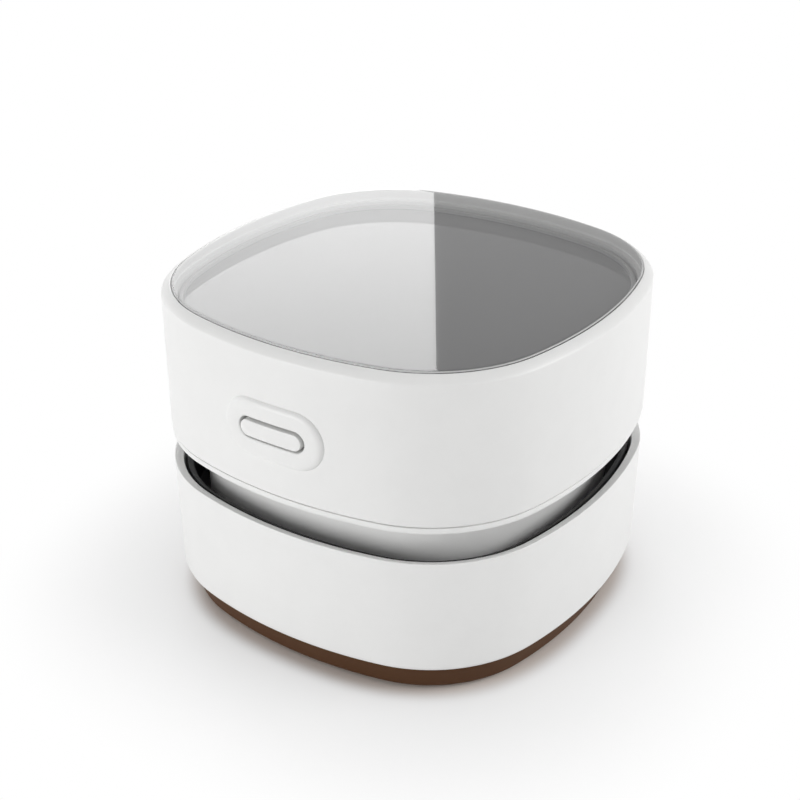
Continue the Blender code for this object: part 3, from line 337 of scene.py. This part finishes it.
bowl = sweep_wall("dust_bowl_moulding", [
    (0.0038, 0.0081), (0.0024, 0.0095), (0.0024, 0.0187), (0.0036, 0.0187), (0.0036, 0.0105),
    (0.0046, 0.0095),
], rounds=((2, 0.0002, 2), (3, 0.0003, 3)), solid=True)
combine(bowl, pill_block("tube", NOZZLE_LENGTH + 0.0028, NOZZLE_WIDTH + 0.0028, 0.0063, 0.0175,
                         0.0004), "UNION")
for spot in diagonal_spots(BOSS_REACH):
    combine(bowl, upright_rod("boss", 0.0024, 0.0088, 0.0147, spot), "UNION")
combine(bowl, pill_block("bore", NOZZLE_LENGTH, NOZZLE_WIDTH, 0.0050, 0.0190))
for spot in diagonal_spots(BOSS_REACH):
    combine(bowl, upright_rod("pilot", PILOT_RADIUS, 0.0070, 0.0139, spot))
finish_piece(bowl, black, "dust_cup", "dust_bowl", slot="black_plastic")


# The base is a dark brown dish that closes the cup from below. A shallow mouth with rounded
# corners holds the brushes round the suction slot, and it has pockets for feet and screw heads.
# Its dark brown is partly the moulding's own colour and partly painted shade: it also stands in for
# the shadow under the foot of the shell.
brown_and_painted_shade = moulded("brown_plastic_and_painted_shade", (0.078, 0.034, 0.014), 0.52, 0.00020, 0.000005, 0.06,
                Specular_IOR_Level=0.15)
FOOT_REACH = 0.03722 / math.sqrt(2)
base = sweep_wall("base_dish", [
    (0.0036, 0.0008), (0.0032, 0.0012), (0.0024, 0.0048), (0.0024, 0.0058), (0.0037, 0.0058),
    (0.0037, 0.0078), (0.0053, 0.0078), (0.0053, 0.0024),
], rounds=((1, 0.0003, 3), (2, 0.0010, 3), (3, 0.0002, 2), (5, 0.0002, 2)), solid=True)
combine(base, rounded_block("mouth_housing", 0.0492, 0.0312, 0.0056, 0.0016, 0.0060), "UNION")
for spot in diagonal_spots(BOSS_REACH):
    combine(base, upright_rod("post", 0.00265, 0.0016, 0.0078, spot), "UNION")
combine(base, rounded_block("mouth", 0.0460, 0.0280, 0.0040, -0.0010, 0.0044))
combine(base, pill_block("slot", NOZZLE_LENGTH, NOZZLE_WIDTH, 0.0008, 0.0070))
for spot in diagonal_spots(BOSS_REACH):
    combine(base, upright_rod("screw_way", PILOT_RADIUS, 0.0010, 0.0090, spot))
    combine(base, upright_rod("head_way", 0.0020, -0.0010, 0.0039, spot))
for spot in diagonal_spots(FOOT_REACH):
    combine(base, upright_rod("foot_way", 0.0047, -0.0010, 0.0017, spot, 48))
finish_piece(base, brown_and_painted_shade, "dust_cup", "base_plate", slot="brown_base")


# The upper shell is the white outer wall of the motor unit, with a rounded shoulder round the
# lens. The raised pill round the power button is moulded in one with it.
LENS_SEAT = 0.0630
LENS_LOW = 0.0633
LENS_TOP = 0.0655
shoulder = [(0, 0.06375), (0.00003, 0.0639), (0.00014, 0.06405), (0.00034, 0.06427),
            (0.00064, 0.06455), (0.00098, 0.06482), (0.00135, 0.06507), (0.00162, 0.0652),
            (0.0018, 0.0653)]
upper = sweep_wall("upper_wall", [
    (0, 0.0370), *shoulder, (0.0018, LENS_SEAT), (0.0029, LENS_SEAT), (0.0029, 0.0602),
    (0.0052, 0.0602), (0.0052, 0.0588), (0.00375, 0.0588), (0.0026, 0.05765), (0.0026, 0.0403),
    (0.0020, 0.0370),
], rounds=((9, 0.00012, 2), (0, 0.0002, 3)))
PILL_REACH = 0.0050
PILL_MIDDLE = 0.0493
PILL_RUNS = 10


def follow_front(piece):
    """Move points back so that a piece drawn against a flat front follows the wall's curve."""
    for point in piece.data.vertices:
        point.co.y += SIDE_ARC - math.sqrt(SIDE_ARC**2 - point.co.x**2)


def sweep_pill(name, section, steps=16):
    """Spin a section of reach and standing height round the pill on the front wall."""
    start_piece()
    bpy.ops.mesh.primitive_circle_add(vertices=len(section), radius=RIM)
    pill = name_piece(name)
    for point, (reach, proud) in zip(pill.data.vertices, section):
        point.co = (PILL_REACH, -HALF - proud, PILL_MIDDLE - reach)
    bpy.ops.object.mode_set(mode="EDIT")
    if section[0][0] == 0:
        open_section(pill, len(section))
    bpy.ops.mesh.select_all(action="SELECT")
    bpy.ops.mesh.spin(steps=steps, angle=math.pi, center=(PILL_REACH, 0, PILL_MIDDLE),
                      axis=(0, 1, 0))
    for run in range(PILL_RUNS):
        bpy.ops.mesh.extrude_region_move(
            TRANSFORM_OT_translate={"value": (-2 * PILL_REACH / PILL_RUNS, 0, 0)})
    bpy.ops.mesh.select_all(action="SELECT")
    bpy.ops.mesh.duplicate()
    bpy.ops.transform.rotate(value=math.pi, orient_axis="Y", center_override=(0, 0, PILL_MIDDLE))
    close_up(pill)
    follow_front(pill)
    return pill


well = pill_block("well", 0.0152, 0.0052, 0.0380, 0.0450)
well.data.transform(Matrix.Translation((0, 0, PILL_MIDDLE)) @ Matrix.Rotation(math.pi / 2, 4, "X"))
combine(upper, well)
bezel_round = [(0.0057 - 0.0011 * (1 - math.cos(math.pi / 2 * k / 7)),
                -0.0003 + 0.00110 * math.sin(math.pi / 2 * k / 7)) for k in range(8)]
combine(upper, sweep_pill("bezel", [
    (0.0021, -0.0021), (0.0034, -0.0021), (0.0034, -0.0010), (0.0060, -0.0010),
    *bezel_round, (0.0024, 0.00072), (0.00225, 0.00066), (0.0021, 0.00050),
]), "UNION")
socket_way = pill_block("socket_way", 0.0096, 0.0039, -0.0450, -0.0380)
socket_way.data.transform(Matrix.Translation((0, 0, 0.0420)) @ Matrix.Rotation(math.pi / 2, 4, "X"))
combine(upper, socket_way)
finish_piece(upper, white, "motor_unit", "upper_shell", slot="white_shell", angle=28)


# The power button is a small white moulding with rounded edges. It stands a little proud of the
# pill round it, and a flange behind the wall keeps it in.
button_face = 0.00090
button_round = [(0.0014 + 0.00015 * math.sin(math.pi / 2 * k / 4),
                 button_face - 0.00015 * (1 - math.cos(math.pi / 2 * k / 4))) for k in range(5)]
button = sweep_pill("power_key", [
    (0, button_face), *button_round, (0.00155, -0.0029), (0.0030, -0.0029), (0.0030, -0.0039),
    (0, -0.0039),
])
finish_piece(button, white, "power_button", "button_cap", slot="white_shell")


# The tray is a shallow moulding under the lens. Its flat plate is sprayed a glossy smoke grey, and
# its bare rim stays pale and stands in a narrow gap inside the shell.
grey, shader, place = new_finish("smoke_grey_plate", (0.17, 0.17, 0.174), 0.06,
                                 Specular_IOR_Level=0.8)
wiped = place.noise(320.0, 2.0)
cloud = place.noise(28.0, 3.0)
PLATE_TOP = 0.0615
rim = place.axis("Z").band(PLATE_TOP + 0.00010, PLATE_TOP + 0.00018)
painted = cloud.band(0.3, 0.7).blend((0.163, 0.164, 0.167), (0.175, 0.176, 0.179))
feed(shader,
     Base_Color=rim.blend(painted, (0.36, 0.36, 0.36)),
     Roughness=wiped * 0.02 + rim * 0.35 + 0.04)
tray = sweep_wall("lens_plate", [
    (0.0032, 0.0605), (0.0032, 0.0624), (0.0040, 0.0624), (0.0040, PLATE_TOP),
], rounds=((1, 0.00015, 2), (2, 0.00015, 2)), solid=True)
finish_piece(tray, grey, "motor_unit", "lens_tray", slot="grey_tray")


# The lens is a slab of clear acrylic with polished faces and a fine bevel, glued on the seat of
# the upper shell. It lets the tray show and mirrors the room at a low angle.
clear = bpy.data.materials.new("clear_acrylic")
clear.use_nodes = True
tree = clear.node_tree
tree.nodes.remove(tree.nodes["Principled BSDF"])
place = Wire(tree, tree.nodes.new("ShaderNodeTexCoord").outputs["Object"])
through = place.node("ShaderNodeBsdfTransparent", None, {"Color": (0.80, 0.80, 0.80, 1)})
shine = place.node("ShaderNodeBsdfAnisotropic", None,
                   {"Color": (1, 1, 1, 1), "Roughness": 0.02})
outside = 1.0 - place.node("ShaderNodeNewGeometry", output=6)
angle = place.node("ShaderNodeFresnel", None, {"IOR": 1.49}) * outside
both = place.node("ShaderNodeMixShader", None, {0: angle, 1: through, 2: shine})
# The up-facing bevel is given 60 % matte white: a painted highlight that stands in for the bright
# line of light along the lens's top edge.
bevel_highlight_white = place.node("ShaderNodeBsdfDiffuse", None, {"Color": (0.80, 0.80, 0.80, 1)})
facing = place.node("ShaderNodeTexCoord", output=1).axis("Z")
painted_bevel_highlight = (1.0 - facing.band(0.93, 0.99)) * facing.band(0.20, 0.35) * 0.6
whole = place.node("ShaderNodeMixShader", None, {0: painted_bevel_highlight, 1: both, 2: bevel_highlight_white})
tree.links.new(whole.socket, tree.nodes["Material Output"].inputs["Surface"])
lens = sweep_wall("clear_cover", [
    (0.0030, LENS_LOW), (0.0020, LENS_LOW), (0.0020, LENS_TOP), (0.0030, LENS_TOP),
], rounds=((1, 0.0001, 1), (2, 0.00026, 3)), solid=True)
finish_piece(lens, clear, "motor_unit", "top_lens", slot="clear_lens")


# The chassis is the white deck that closes the upper shell from below. Its edge shows as a thin
# strip under a hairline gap, and a spigot on it locates the shell.
SCREW_REACH = 0.036223 / math.sqrt(2)
EARS = [(-0.01278, 0.00895), (0.01278, -0.00895)]
DECK_LOW = 0.0355
DECK_TOP = 0.0367
deck = sweep_wall("deck_plate", [
    (0.0012, DECK_LOW), (0.0002, DECK_LOW), (0.0002, DECK_TOP), (0.0029, DECK_TOP),
    (0.0029, 0.0400), (0.0041, 0.0400), (0.0041, DECK_TOP),
], rounds=((1, 0.0003, 3), (2, 0.00015, 2), (4, 0.0002, 2), (5, 0.0002, 2)), solid=True)
for x in (-0.01751, 0.01751):
    for y in (0.0175, 0.0325):
        combine(deck, upright_rod("board_post", 0.0015, 0.0361, 0.0386, (x, y)), "UNION")
combine(deck, upright_rod("shaft_way", 0.0040, DECK_LOW - 0.001, DECK_TOP + 0.001, sides=48))
for spot in diagonal_spots(SCREW_REACH) + EARS:
    combine(deck, upright_rod("screw_way", PILOT_RADIUS, DECK_LOW - 0.001, DECK_TOP + 0.001,
                              spot))
finish_piece(deck, white, "motor_unit", "chassis_plate", slot="white_shell")


# The fan housing is the set-back neck between the storeys. Air comes up through the round inlet
# in its floor, and leaves by a row of slots at the rear.
VENTS = 9
VENT_PITCH = 0.0050
UPRIGHT_TO_REAR = Matrix(((0, 1, 0), (0, 0, 1), (1, 0, 0))).to_4x4()
neck = sweep_wall("neck_wall", [
    (0.0080, 0.0283), (0.0080, 0.0210), (0.0065, 0.0210), (0.0065, 0.0352), (0.0080, 0.0352),
    (0.0080, 0.0295),
], rounds=((1, 0.0003, 3), (2, 0.0004, 3), (3, 0.0002, 2)), solid=True)
for spot in diagonal_spots(SCREW_REACH):
    combine(neck, upright_rod("boss", 0.0026, 0.0289, 0.03515, spot), "UNION")
combine(neck, upright_rod("inlet_lip", 0.0117, 0.0289, 0.0300, sides=64), "UNION")
combine(neck, upright_rod("inlet", 0.0105, 0.0270, 0.0320, sides=64))
for spot in diagonal_spots(SCREW_REACH):
    combine(neck, upright_rod("pilot", PILOT_RADIUS, 0.0317, 0.0360, spot))
for k in range(VENTS):
    vent = pill_block("vent", 0.0046, 0.0028, 0.0265, 0.0425, steps=6)
    across_wall = VENT_PITCH * (k - VENTS // 2)
    vent.data.transform(Matrix.Translation((across_wall, 0, 0.0321)) @ UPRIGHT_TO_REAR)
    combine(neck, vent)
finish_piece(neck, white, "motor_unit", "fan_housing", slot="white_shell")


# The filter is a pad of pale felt in a grey frame with a cross, pressed up against the fan floor.
frame_grey = moulded("grey_satin_plastic", (0.36, 0.37, 0.38), 0.48, 0.00020, 0.000005)
filter_ring = sweep_wall("filter_ring", [
    (0.0083, 0.0253), (0.0083, 0.0280), (0.0113, 0.0280), (0.0113, 0.0253),
], rounds=((0, 0.0003, 3), (1, 0.0003, 3), (3, 0.0003, 3)))
for turn in (0, math.pi / 2):
    bar = pill_block("bar", 0.0654, 0.0016, 0.0253, 0.0261, steps=4)
    bar.data.transform(Matrix.Rotation(turn, 4, "Z"))
    combine(filter_ring, bar, "UNION")
finish_piece(filter_ring, frame_grey, "motor_unit", "filter_frame", slot="grey_tray")

felt, shader, place = new_finish("pressed_felt", (0.60, 0.61, 0.62), 0.95, Sheen_Weight=0.25)
strands = (place * 1.0).noise(2600.0, 5.0, 0.75)
clumps = place.noise(420.0, 3.0, 0.6)
feed(shader,
     Base_Color=(strands * 0.6 + clumps * 0.4).band(0.3, 0.7).blend((0.47, 0.48, 0.49),
                                                                    (0.68, 0.69, 0.70)),
     Normal=relief(strands + clumps * 1.5, 0.00016))
pad = sweep_wall("felt_pad", [
    (0.0126, 0.0264), (0.0116, 0.0264), (0.0116, 0.0278), (0.0126, 0.0278),
], rounds=((1, 0.0003, 3), (2, 0.0003, 3)), solid=True)
finish_piece(pad, felt, "motor_unit", "filter_pad", slot="filter_grey")


# The seal is a bead of soft black rubber under the filter frame. It closes on the collar's ring.
def soft_rubber(name, colour, roughness):
    made, shader, place = new_finish(name, colour, roughness)
    bloom = place.noise(260.0, 4.0, 0.7)
    grain = place.noise(6500.0, 2.0, 0.6)
    lighter = tuple(part * 2.2 + 0.008 for part in colour)
    feed(shader,
         Base_Color=bloom.band(0.42, 0.85).blend(colour, lighter),
         Roughness=bloom * 0.12 + (roughness - 0.06),
         Normal=relief(grain, 0.000010))
    return made


rubber = soft_rubber("black_rubber", (0.020, 0.020, 0.021), 0.80)
seal = sweep_wall("seal_bead", [
    (0.0083, 0.0238), (0.0083, 0.0250), (0.0098, 0.0250), (0.0098, 0.0238),
], rounds=((0, 0.00055, 4), (1, 0.0002, 2), (2, 0.0002, 2), (3, 0.00055, 4)))
finish_piece(seal, rubber, "motor_unit", "seal_ring", slot="rubber")


# Each brush is a strip of dark nylon strands fused to a backing bar, glued into the base's mouth.
# The strands lean and splay a little, as used brushes do. Their streaks run in slanting layers,
# because a place times a number is one value, the mean of its three axes.
bristle, shader, place = new_finish("dark_nylon", (0.030, 0.030, 0.032), 0.38)
streaks = (place * 1.0).noise(700.0, 3.0, 0.6)
feed(shader,
     Base_Color=streaks.band(0.35, 0.7).blend((0.018, 0.018, 0.020), (0.060, 0.060, 0.064)),
     Roughness=streaks * 0.2 + 0.30,
     Normal=relief(streaks, 0.000012))
STRAND_ROWS = 5
STRAND_COLUMNS = 96
STRAND_REACH = 0.01855
STRAND_DEPTH = 0.0022
STRAND_TIP = 0.0004
STRAND_ROOT = 0.0030


def repeat(piece, count, step):
    """Repeat the active piece in a row."""
    row = piece.modifiers.new("row", "ARRAY")
    row.count = count
    row.use_relative_offset = False
    row.use_constant_offset = True
    row.constant_offset_displace = step
    bpy.ops.object.modifier_apply(modifier=row.name)


def brush(name, y, node):
    start_piece()
    first = (-STRAND_REACH, y - STRAND_DEPTH / 2)
    bpy.ops.mesh.primitive_cylinder_add(vertices=5, radius=0.00014,
                                        depth=STRAND_ROOT - STRAND_TIP,
                                        location=(*first, (STRAND_ROOT + STRAND_TIP) / 2))
    bpy.ops.object.transform_apply(location=True)
    strip = name_piece(name)
    bpy.ops.object.mode_set(mode="EDIT")
    for height in (0.0021, 0.0013, 0.0008):
        bpy.ops.mesh.select_all(action="SELECT")
        bpy.ops.mesh.bisect(plane_co=(0, 0, height), plane_no=(0, 0, 1))
    pick(strip, lambda co: co.z < 0.0005)
    bpy.ops.transform.resize(value=(0.55, 0.55, 1), center_override=(*first, STRAND_TIP))
    bpy.ops.object.mode_set(mode="OBJECT")
    repeat(strip, STRAND_COLUMNS, (2 * STRAND_REACH / (STRAND_COLUMNS - 1), 0, 0))
    repeat(strip, STRAND_ROWS, (0, STRAND_DEPTH / (STRAND_ROWS - 1), 0))
    size = len(strip.data.vertices) // (STRAND_ROWS * STRAND_COLUMNS)
    for strand in range(STRAND_ROWS * STRAND_COLUMNS):
        row, column = divmod(strand, STRAND_COLUMNS)
        lean_x = 0.00030 * math.sin(strand * 12.9898) + 0.00016 * math.sin(column * 0.41)
        lean_y = 0.00026 * math.sin(strand * 78.233) + 0.00022 * (row / (STRAND_ROWS - 1) - 0.5)
        shift = 0.00016 * (row % 2)
        for k in range(strand * size, (strand + 1) * size):
            point = strip.data.vertices[k]
            drop = max(0.0, (STRAND_ROOT - point.co.z) / (STRAND_ROOT - STRAND_TIP))
            point.co.x += shift + lean_x * drop**1.6
            point.co.y += lean_y * drop**1.6
    bar = pill_block("bar", 0.0380, 0.0034, 0.0029, 0.0041, steps=4)
    start_piece()
    bar.select_set(True)
    strip.select_set(True)
    bpy.context.view_layer.objects.active = strip
    bpy.ops.object.join()
    finish_piece(strip, bristle, "dust_cup", node, slot="nylon")


brush("front_bristles", -0.0100, "brush_strip_front")
brush("rear_bristles", 0.0100, "brush_strip_rear")


# The feet are discs of black rubber, pressed into round pockets under the base. Each has a round
# edge and two shallow grip grooves.
def turned(name, profile, steps=48, spot=(0, 0)):
    """Spin a profile of radius and height round an upright axis."""
    start_piece()
    bpy.ops.mesh.primitive_circle_add(vertices=len(profile), radius=RIM)
    piece = name_piece(name)
    for point, (radius, height) in zip(piece.data.vertices, profile):
        point.co = (spot[0] + radius, spot[1], height)
    bpy.ops.object.mode_set(mode="EDIT")
    open_section(piece, len(profile))
    bpy.ops.mesh.select_all(action="SELECT")
    bpy.ops.mesh.spin(steps=steps, angle=2 * math.pi, center=(*spot, 0), axis=(0, 0, -1))
    close_up(piece)
    return piece


FOOT_RADIUS = 0.0044
FOOT_TOP = 0.0014
GRIP = 0.0002
for k, spot in enumerate(diagonal_spots(FOOT_REACH)):
    foot = turned(f"foot_pad_{k + 1}", [
        (0, 0), (0.0014, 0), (0.0015, GRIP), (0.0017, GRIP), (0.0018, 0), (0.0030, 0),
        (0.0031, GRIP), (0.0033, GRIP), (0.0034, 0), (0.0041, 0), (0.00431, 0.00009),
        (FOOT_RADIUS, 0.0003), (FOOT_RADIUS, FOOT_TOP), (0, FOOT_TOP),
    ], spot=spot)
    finish_piece(foot, rubber, "dust_cup", f"foot_{k + 1}", slot="rubber")


# All the screws are small zinc-plated pan heads with a cross recess: four hold the base to the
# bowl, four the deck to the fan housing, and two the motor bracket to the deck.
zinc, shader, place = new_finish("zinc_plate", (0.62, 0.62, 0.60), 0.28, Metallic=1.0)
turning = place.noise(1500.0, 3.0, 0.6)
feed(shader,
     Base_Color=turning.band(0.3, 0.75).blend((0.66, 0.66, 0.65), (0.50, 0.50, 0.47)),
     Roughness=turning * 0.18 + 0.20,
     Normal=relief(turning, 0.000006))


HEAD_HEIGHT = 0.0012
HEAD_RADIUS = 0.0018
THREAD_RADIUS = 0.0009
PITCH = 0.0004


def pan_screw(name, seat, length, spot, up, body, node):
    """A cross-head screw; up says whether its shank runs up from its seat."""
    sign = 1 if up else -1
    head = seat - sign * HEAD_HEIGHT
    profile = [(0, head), (0.0007, head), (0.0013, head + sign * 0.0001),
               (0.0017, head + sign * 0.0004), (HEAD_RADIUS, head + sign * 0.0008),
               (HEAD_RADIUS, seat), (THREAD_RADIUS, seat)]
    turns = int(length / PITCH) - 3
    for k in range(turns):
        at = seat + sign * PITCH * (k + 1)
        profile += [(THREAD_RADIUS, at), (0.8 * THREAD_RADIUS, at + sign * PITCH / 2)]
    profile += [(0.0005, seat + sign * (length - PITCH)), (0, seat + sign * length)]
    screw = turned(name, profile, steps=20, spot=spot)
    for turn in (0, math.pi / 2):
        blade = pill_block("blade", 0.0022, 0.00042, head - 0.0008, head + 0.0008, steps=2)
        blade.data.transform(Matrix.Translation((*spot, 0)) @ Matrix.Rotation(turn, 4, "Z"))
        combine(screw, blade)
    finish_piece(screw, zinc, body, node, slot="steel")


for k, spot in enumerate(diagonal_spots(BOSS_REACH)):
    pan_screw(f"base_fixing_{k + 1}", 0.0036, 0.0100, spot, True, "dust_cup",
              f"base_screw_{k + 1}")
for k, spot in enumerate(diagonal_spots(SCREW_REACH)):
    pan_screw(f"deck_fixing_{k + 1}", 0.0370, 0.0050, spot, False, "motor_unit",
              f"housing_screw_{k + 1}")
for k, spot in enumerate(EARS):
    pan_screw(f"motor_fixing_{k + 1}", 0.0383, 0.0026, spot, False, "motor_unit",
              f"motor_screw_{k + 1}")


# The charging socket at the rear is a folded steel shell with round ends, with a black tongue and
# gilt contacts inside.
socket = pill_block("socket_can", 0.0089, 0.0032, -0.0413, -0.0328, steps=12)
combine(socket, pill_block("socket_bore", 0.0083, 0.0026, -0.0420, -0.0353, steps=12))
FACE_REAR = Matrix.Translation((0, 0, 0.0420)) @ Matrix.Rotation(math.pi / 2, 4, "X")
socket.data.transform(FACE_REAR)
finish_piece(socket, zinc, "motor_unit", "charge_socket", slot="steel")
tongue = pill_block("socket_tongue", 0.0066, 0.0008, -0.0404, -0.0353, steps=3)
tongue.data.transform(FACE_REAR)
finish_piece(tongue, black, "motor_unit", slot="black_plastic")
CONTACT_PITCH = 0.0005
gilt, shader, place = new_finish("gilt_contact", (0.83, 0.60, 0.25), 0.25, Metallic=1.0)
wear = place.noise(3000.0, 2.0)
feed(shader, Roughness=wear * 0.2 + 0.15)
start_piece()
bpy.ops.mesh.primitive_cube_add(size=1, location=(-0.00275, 0.0379, 0.04242),
                                scale=(0.00028, 0.0040, 0.00006))
bpy.ops.object.transform_apply(location=True, rotation=False, scale=True)
contacts = name_piece("socket_contacts")
repeat(contacts, 12, (CONTACT_PITCH, 0, 0))
finish_piece(contacts, gilt, "motor_unit")


# Inside the motor unit are the parts that no one sees in use. They keep the shapes of their CAD
# solids and get the finishes of the real ones.
def keep_node(name, finish):
    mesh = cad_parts[name].data
    mesh.materials.clear()
    mesh.materials.append(finish)


fan_black = moulded("fan_nylon", (0.085, 0.09, 0.10), 0.42, 0.00022, 0.000006, 0.08)
keep_node("impeller", fan_black)
steel, shader, place = new_finish("drawn_steel", (0.60, 0.60, 0.61), 0.30, Metallic=1.0)
lines = place.noise(800.0, 3.0, 0.6)
feed(shader,
     Base_Color=lines.band(0.3, 0.8).blend((0.64, 0.64, 0.65), (0.50, 0.50, 0.52)),
     Roughness=lines * 0.2 + 0.22,
     Normal=relief(lines, 0.000004))
for name in ("motor_can", "motor_shaft"):
    keep_node(name, steel)
for name in ("motor_bracket", "motor_end_cap", "battery_cradle", "control_chip", "switch_body",
             "switch_plunger"):
    keep_node(name, black)

wrap, shader, place = new_finish("shrink_wrap", (0.05, 0.18, 0.42), 0.30, Coat_Weight=0.3)
creases = place.noise(240.0, 4.0, 0.6)
tip = place.axis("X").band(0.0240, 0.0241) + (1.0 - place.axis("X").band(-0.0246, -0.0244))
feed(shader,
     Base_Color=tip.blend(creases.band(0.3, 0.7).blend((0.035, 0.14, 0.36), (0.06, 0.20, 0.46)),
                          (0.60, 0.60, 0.60)),
     Metallic=tip * 0.9,
     Roughness=creases * 0.2 + 0.2,
     Normal=relief(creases, 0.00004))
keep_node("battery_cell", wrap)

board, shader, place = new_finish("solder_mask", (0.02, 0.16, 0.06), 0.38)
weave = place.node("ShaderNodeTexBrick", {"offset": 0.5}, {
    "Vector": place, "Scale": 620.0, "Color1": (0.35, 0.35, 0.35, 1),
    "Color2": (0.6, 0.6, 0.6, 1), "Mortar": (0.0, 0.0, 0.0, 1), "Mortar Size": 0.06}, output=1)
blobs = place.noise(380.0, 1.0).band(0.60, 0.62)
feed(shader,
     Base_Color=blobs.blend(weave.blend((0.012, 0.12, 0.045), (0.022, 0.18, 0.07)),
                            (0.55, 0.42, 0.16)),
     Metallic=blobs * 0.8,
     Normal=relief(weave, 0.00001))
for name in ("circuit_board", "switch_board"):
    keep_node(name, board)

for shade, colour in (("red", (0.50, 0.03, 0.02)), ("black", (0.016, 0.016, 0.017))):
    jacket = soft_rubber(f"{shade}_jacket", colour, 0.5)
    for name in (f"battery_lead_{shade}", f"motor_lead_{shade}"):
        keep_node(name, jacket)


# The photographer's table is a pale sweep. Soft boxes light it from the front, both sides and
# above, and a tall one behind shows in the lens. The camera looks down from the front right.
start_piece()
bpy.ops.mesh.primitive_plane_add(size=6.0)
table = name_piece("table")
card_with_painted_shade, shader, place = new_finish("pale_card_painted_shadow_glow", (0.88, 0.88, 0.88), 0.75)
SQUARENESS = 2.6
along, over = (place.math("POWER", place.math("ABSOLUTE", place.axis(name)), SQUARENESS)
               for name in "XY")
far = place.math("POWER", along + over, 1 / SQUARENESS)
# Within about 4 mm of the base's outline the card is painted warm brown: a painted brown tint of
# the contact shadow.
feed(shader, Base_Color=far.band(0.0385, 0.0435).blend((0.88, 0.80, 0.74), (0.88, 0.88, 0.88)))
tree = card_with_painted_shade.node_tree
# For camera, glossy and transmission rays the card glows white instead of its lit shade. The glow
# is half on from about 0.5 to 5 mm out from the base's outline and full at 8 cm. This is painted
# light that pales the outer part of the card's shadow and fades it into the white backdrop.
painted_glow = place.node("ShaderNodeEmission", None, {"Color": (1, 1, 1, 1), "Strength": 1.0})
rays = place.node("ShaderNodeLightPath")
seen = rays.math("MAXIMUM", rays.node("ShaderNodeLightPath"),
                 rays.node("ShaderNodeLightPath", output=3))
seen = rays.math("MAXIMUM", seen, rays.node("ShaderNodeLightPath", output=6))
painted_glow_share = (far.band(0.0395, 0.0440) + far.band(0.0440, 0.0800)) * 0.5 * seen
mixed = place.node("ShaderNodeMixShader", None,
                   {0: painted_glow_share, 1: Wire(tree, shader.outputs["BSDF"]), 2: painted_glow})
tree.links.new(mixed.socket, tree.nodes["Material Output"].inputs["Surface"])
table.data.materials.append(card_with_painted_shade)

world = bpy.data.worlds.new("room")
bpy.context.scene.world = world
world.use_nodes = True
tree = world.node_tree
room = tree.nodes["Background"]
rays = Wire(tree, tree.nodes.new("ShaderNodeLightPath").outputs[0])
back = rays.node("ShaderNodeBackground", None, {"Color": (1, 1, 1, 1), "Strength": 1.0})
room.inputs["Color"].default_value = (1, 1, 1, 1)
ROOM_LIGHT = 0.34
room.inputs["Strength"].default_value = ROOM_LIGHT
seen = rays.math("MAXIMUM", rays, rays.node("ShaderNodeLightPath", output=3))
seen = rays.math("MAXIMUM", seen, rays.node("ShaderNodeLightPath", output=6))
mixed = rays.node("ShaderNodeMixShader", None, {0: seen, 1: Wire(tree, room.outputs[0]), 2: back})
tree.links.new(mixed.socket, tree.nodes["World Output"].inputs["Surface"])


def soft_box(name, place, target, width, height, power):
    light = bpy.data.lights.new(name, "AREA")
    light.shape = "RECTANGLE"
    light.size = width
    light.size_y = height
    light.energy = power
    lamp = bpy.data.objects.new(name, light)
    bpy.context.scene.collection.objects.link(lamp)
    lamp.location = place
    lamp.rotation_euler = (Vector(target) - Vector(place)).to_track_quat("-Z", "Y").to_euler()
    return lamp


AZIMUTH = 0.5904
ELEVATION = 0.5036
DISTANCE = 0.293709
camera_back = Vector((math.sin(AZIMUTH) * math.cos(ELEVATION),
                      -math.cos(AZIMUTH) * math.cos(ELEVATION), math.sin(ELEVATION)))
across = Vector((math.cos(AZIMUTH), math.sin(AZIMUTH), 0))
away = Vector((-math.sin(AZIMUTH), math.cos(AZIMUTH), 0))
middle = Vector((0, 0, 0.033))
BOX_REACH = 0.60
for name, side, rise, width, height, power in (
        ("front_box", -18, 8, 0.40, 0.30, 1.75), ("left_box", -80, 10, 0.40, 0.30, 0.30),
        ("right_box", 112, 25, 0.40, 0.30, 1.75), ("top_box", 0, 90, 0.40, 0.40, 0.35)):
    side, rise = math.radians(side), math.radians(rise)
    out = Vector((math.sin(side) * math.cos(rise), -math.cos(side) * math.cos(rise),
                  math.sin(rise)))
    soft_box(name, middle + out * BOX_REACH, middle, width, height, power)
beside = middle - across * 0.276 + Vector((0, 0, 0.50))
behind = soft_box("tall_box", beside + away, beside + away * 0.50, 0.60, 0.80, 3.7)
behind.rotation_euler.rotate_axis("Z", math.radians(1.2))

camera = bpy.data.objects.new("camera", bpy.data.cameras.new("camera"))
bpy.context.scene.collection.objects.link(camera)
bpy.context.scene.camera = camera
camera.data.lens = 66.44
camera.data.sensor_width = 36.0
FOCAL_PIXELS = 1476.48
TILT_X = 9.954 / FOCAL_PIXELS
TILT_Y = 32.988 / FOCAL_PIXELS
toward = -camera_back
above = Vector((-math.sin(AZIMUTH) * math.sin(ELEVATION),
                math.cos(AZIMUTH) * math.sin(ELEVATION), math.cos(ELEVATION)))
right = across * math.cos(TILT_X) + toward * math.sin(TILT_X)
view_up = (across * math.sin(TILT_X) * math.sin(TILT_Y) + above * math.cos(TILT_Y)
           - toward * math.cos(TILT_X) * math.sin(TILT_Y))
view_back = -(-across * math.cos(TILT_Y) * math.sin(TILT_X) + above * math.sin(TILT_Y)
              + toward * math.cos(TILT_Y) * math.cos(TILT_X))
turn = Matrix((right, view_up, view_back)).transposed().to_4x4()
camera.matrix_world = Matrix.Translation(Vector((0, 0, 0.030)) + camera_back * DISTANCE) @ turn
camera.data.clip_start = 0.01
camera.data.clip_end = 20.0
bpy.context.scene.view_settings.view_transform = "Standard"
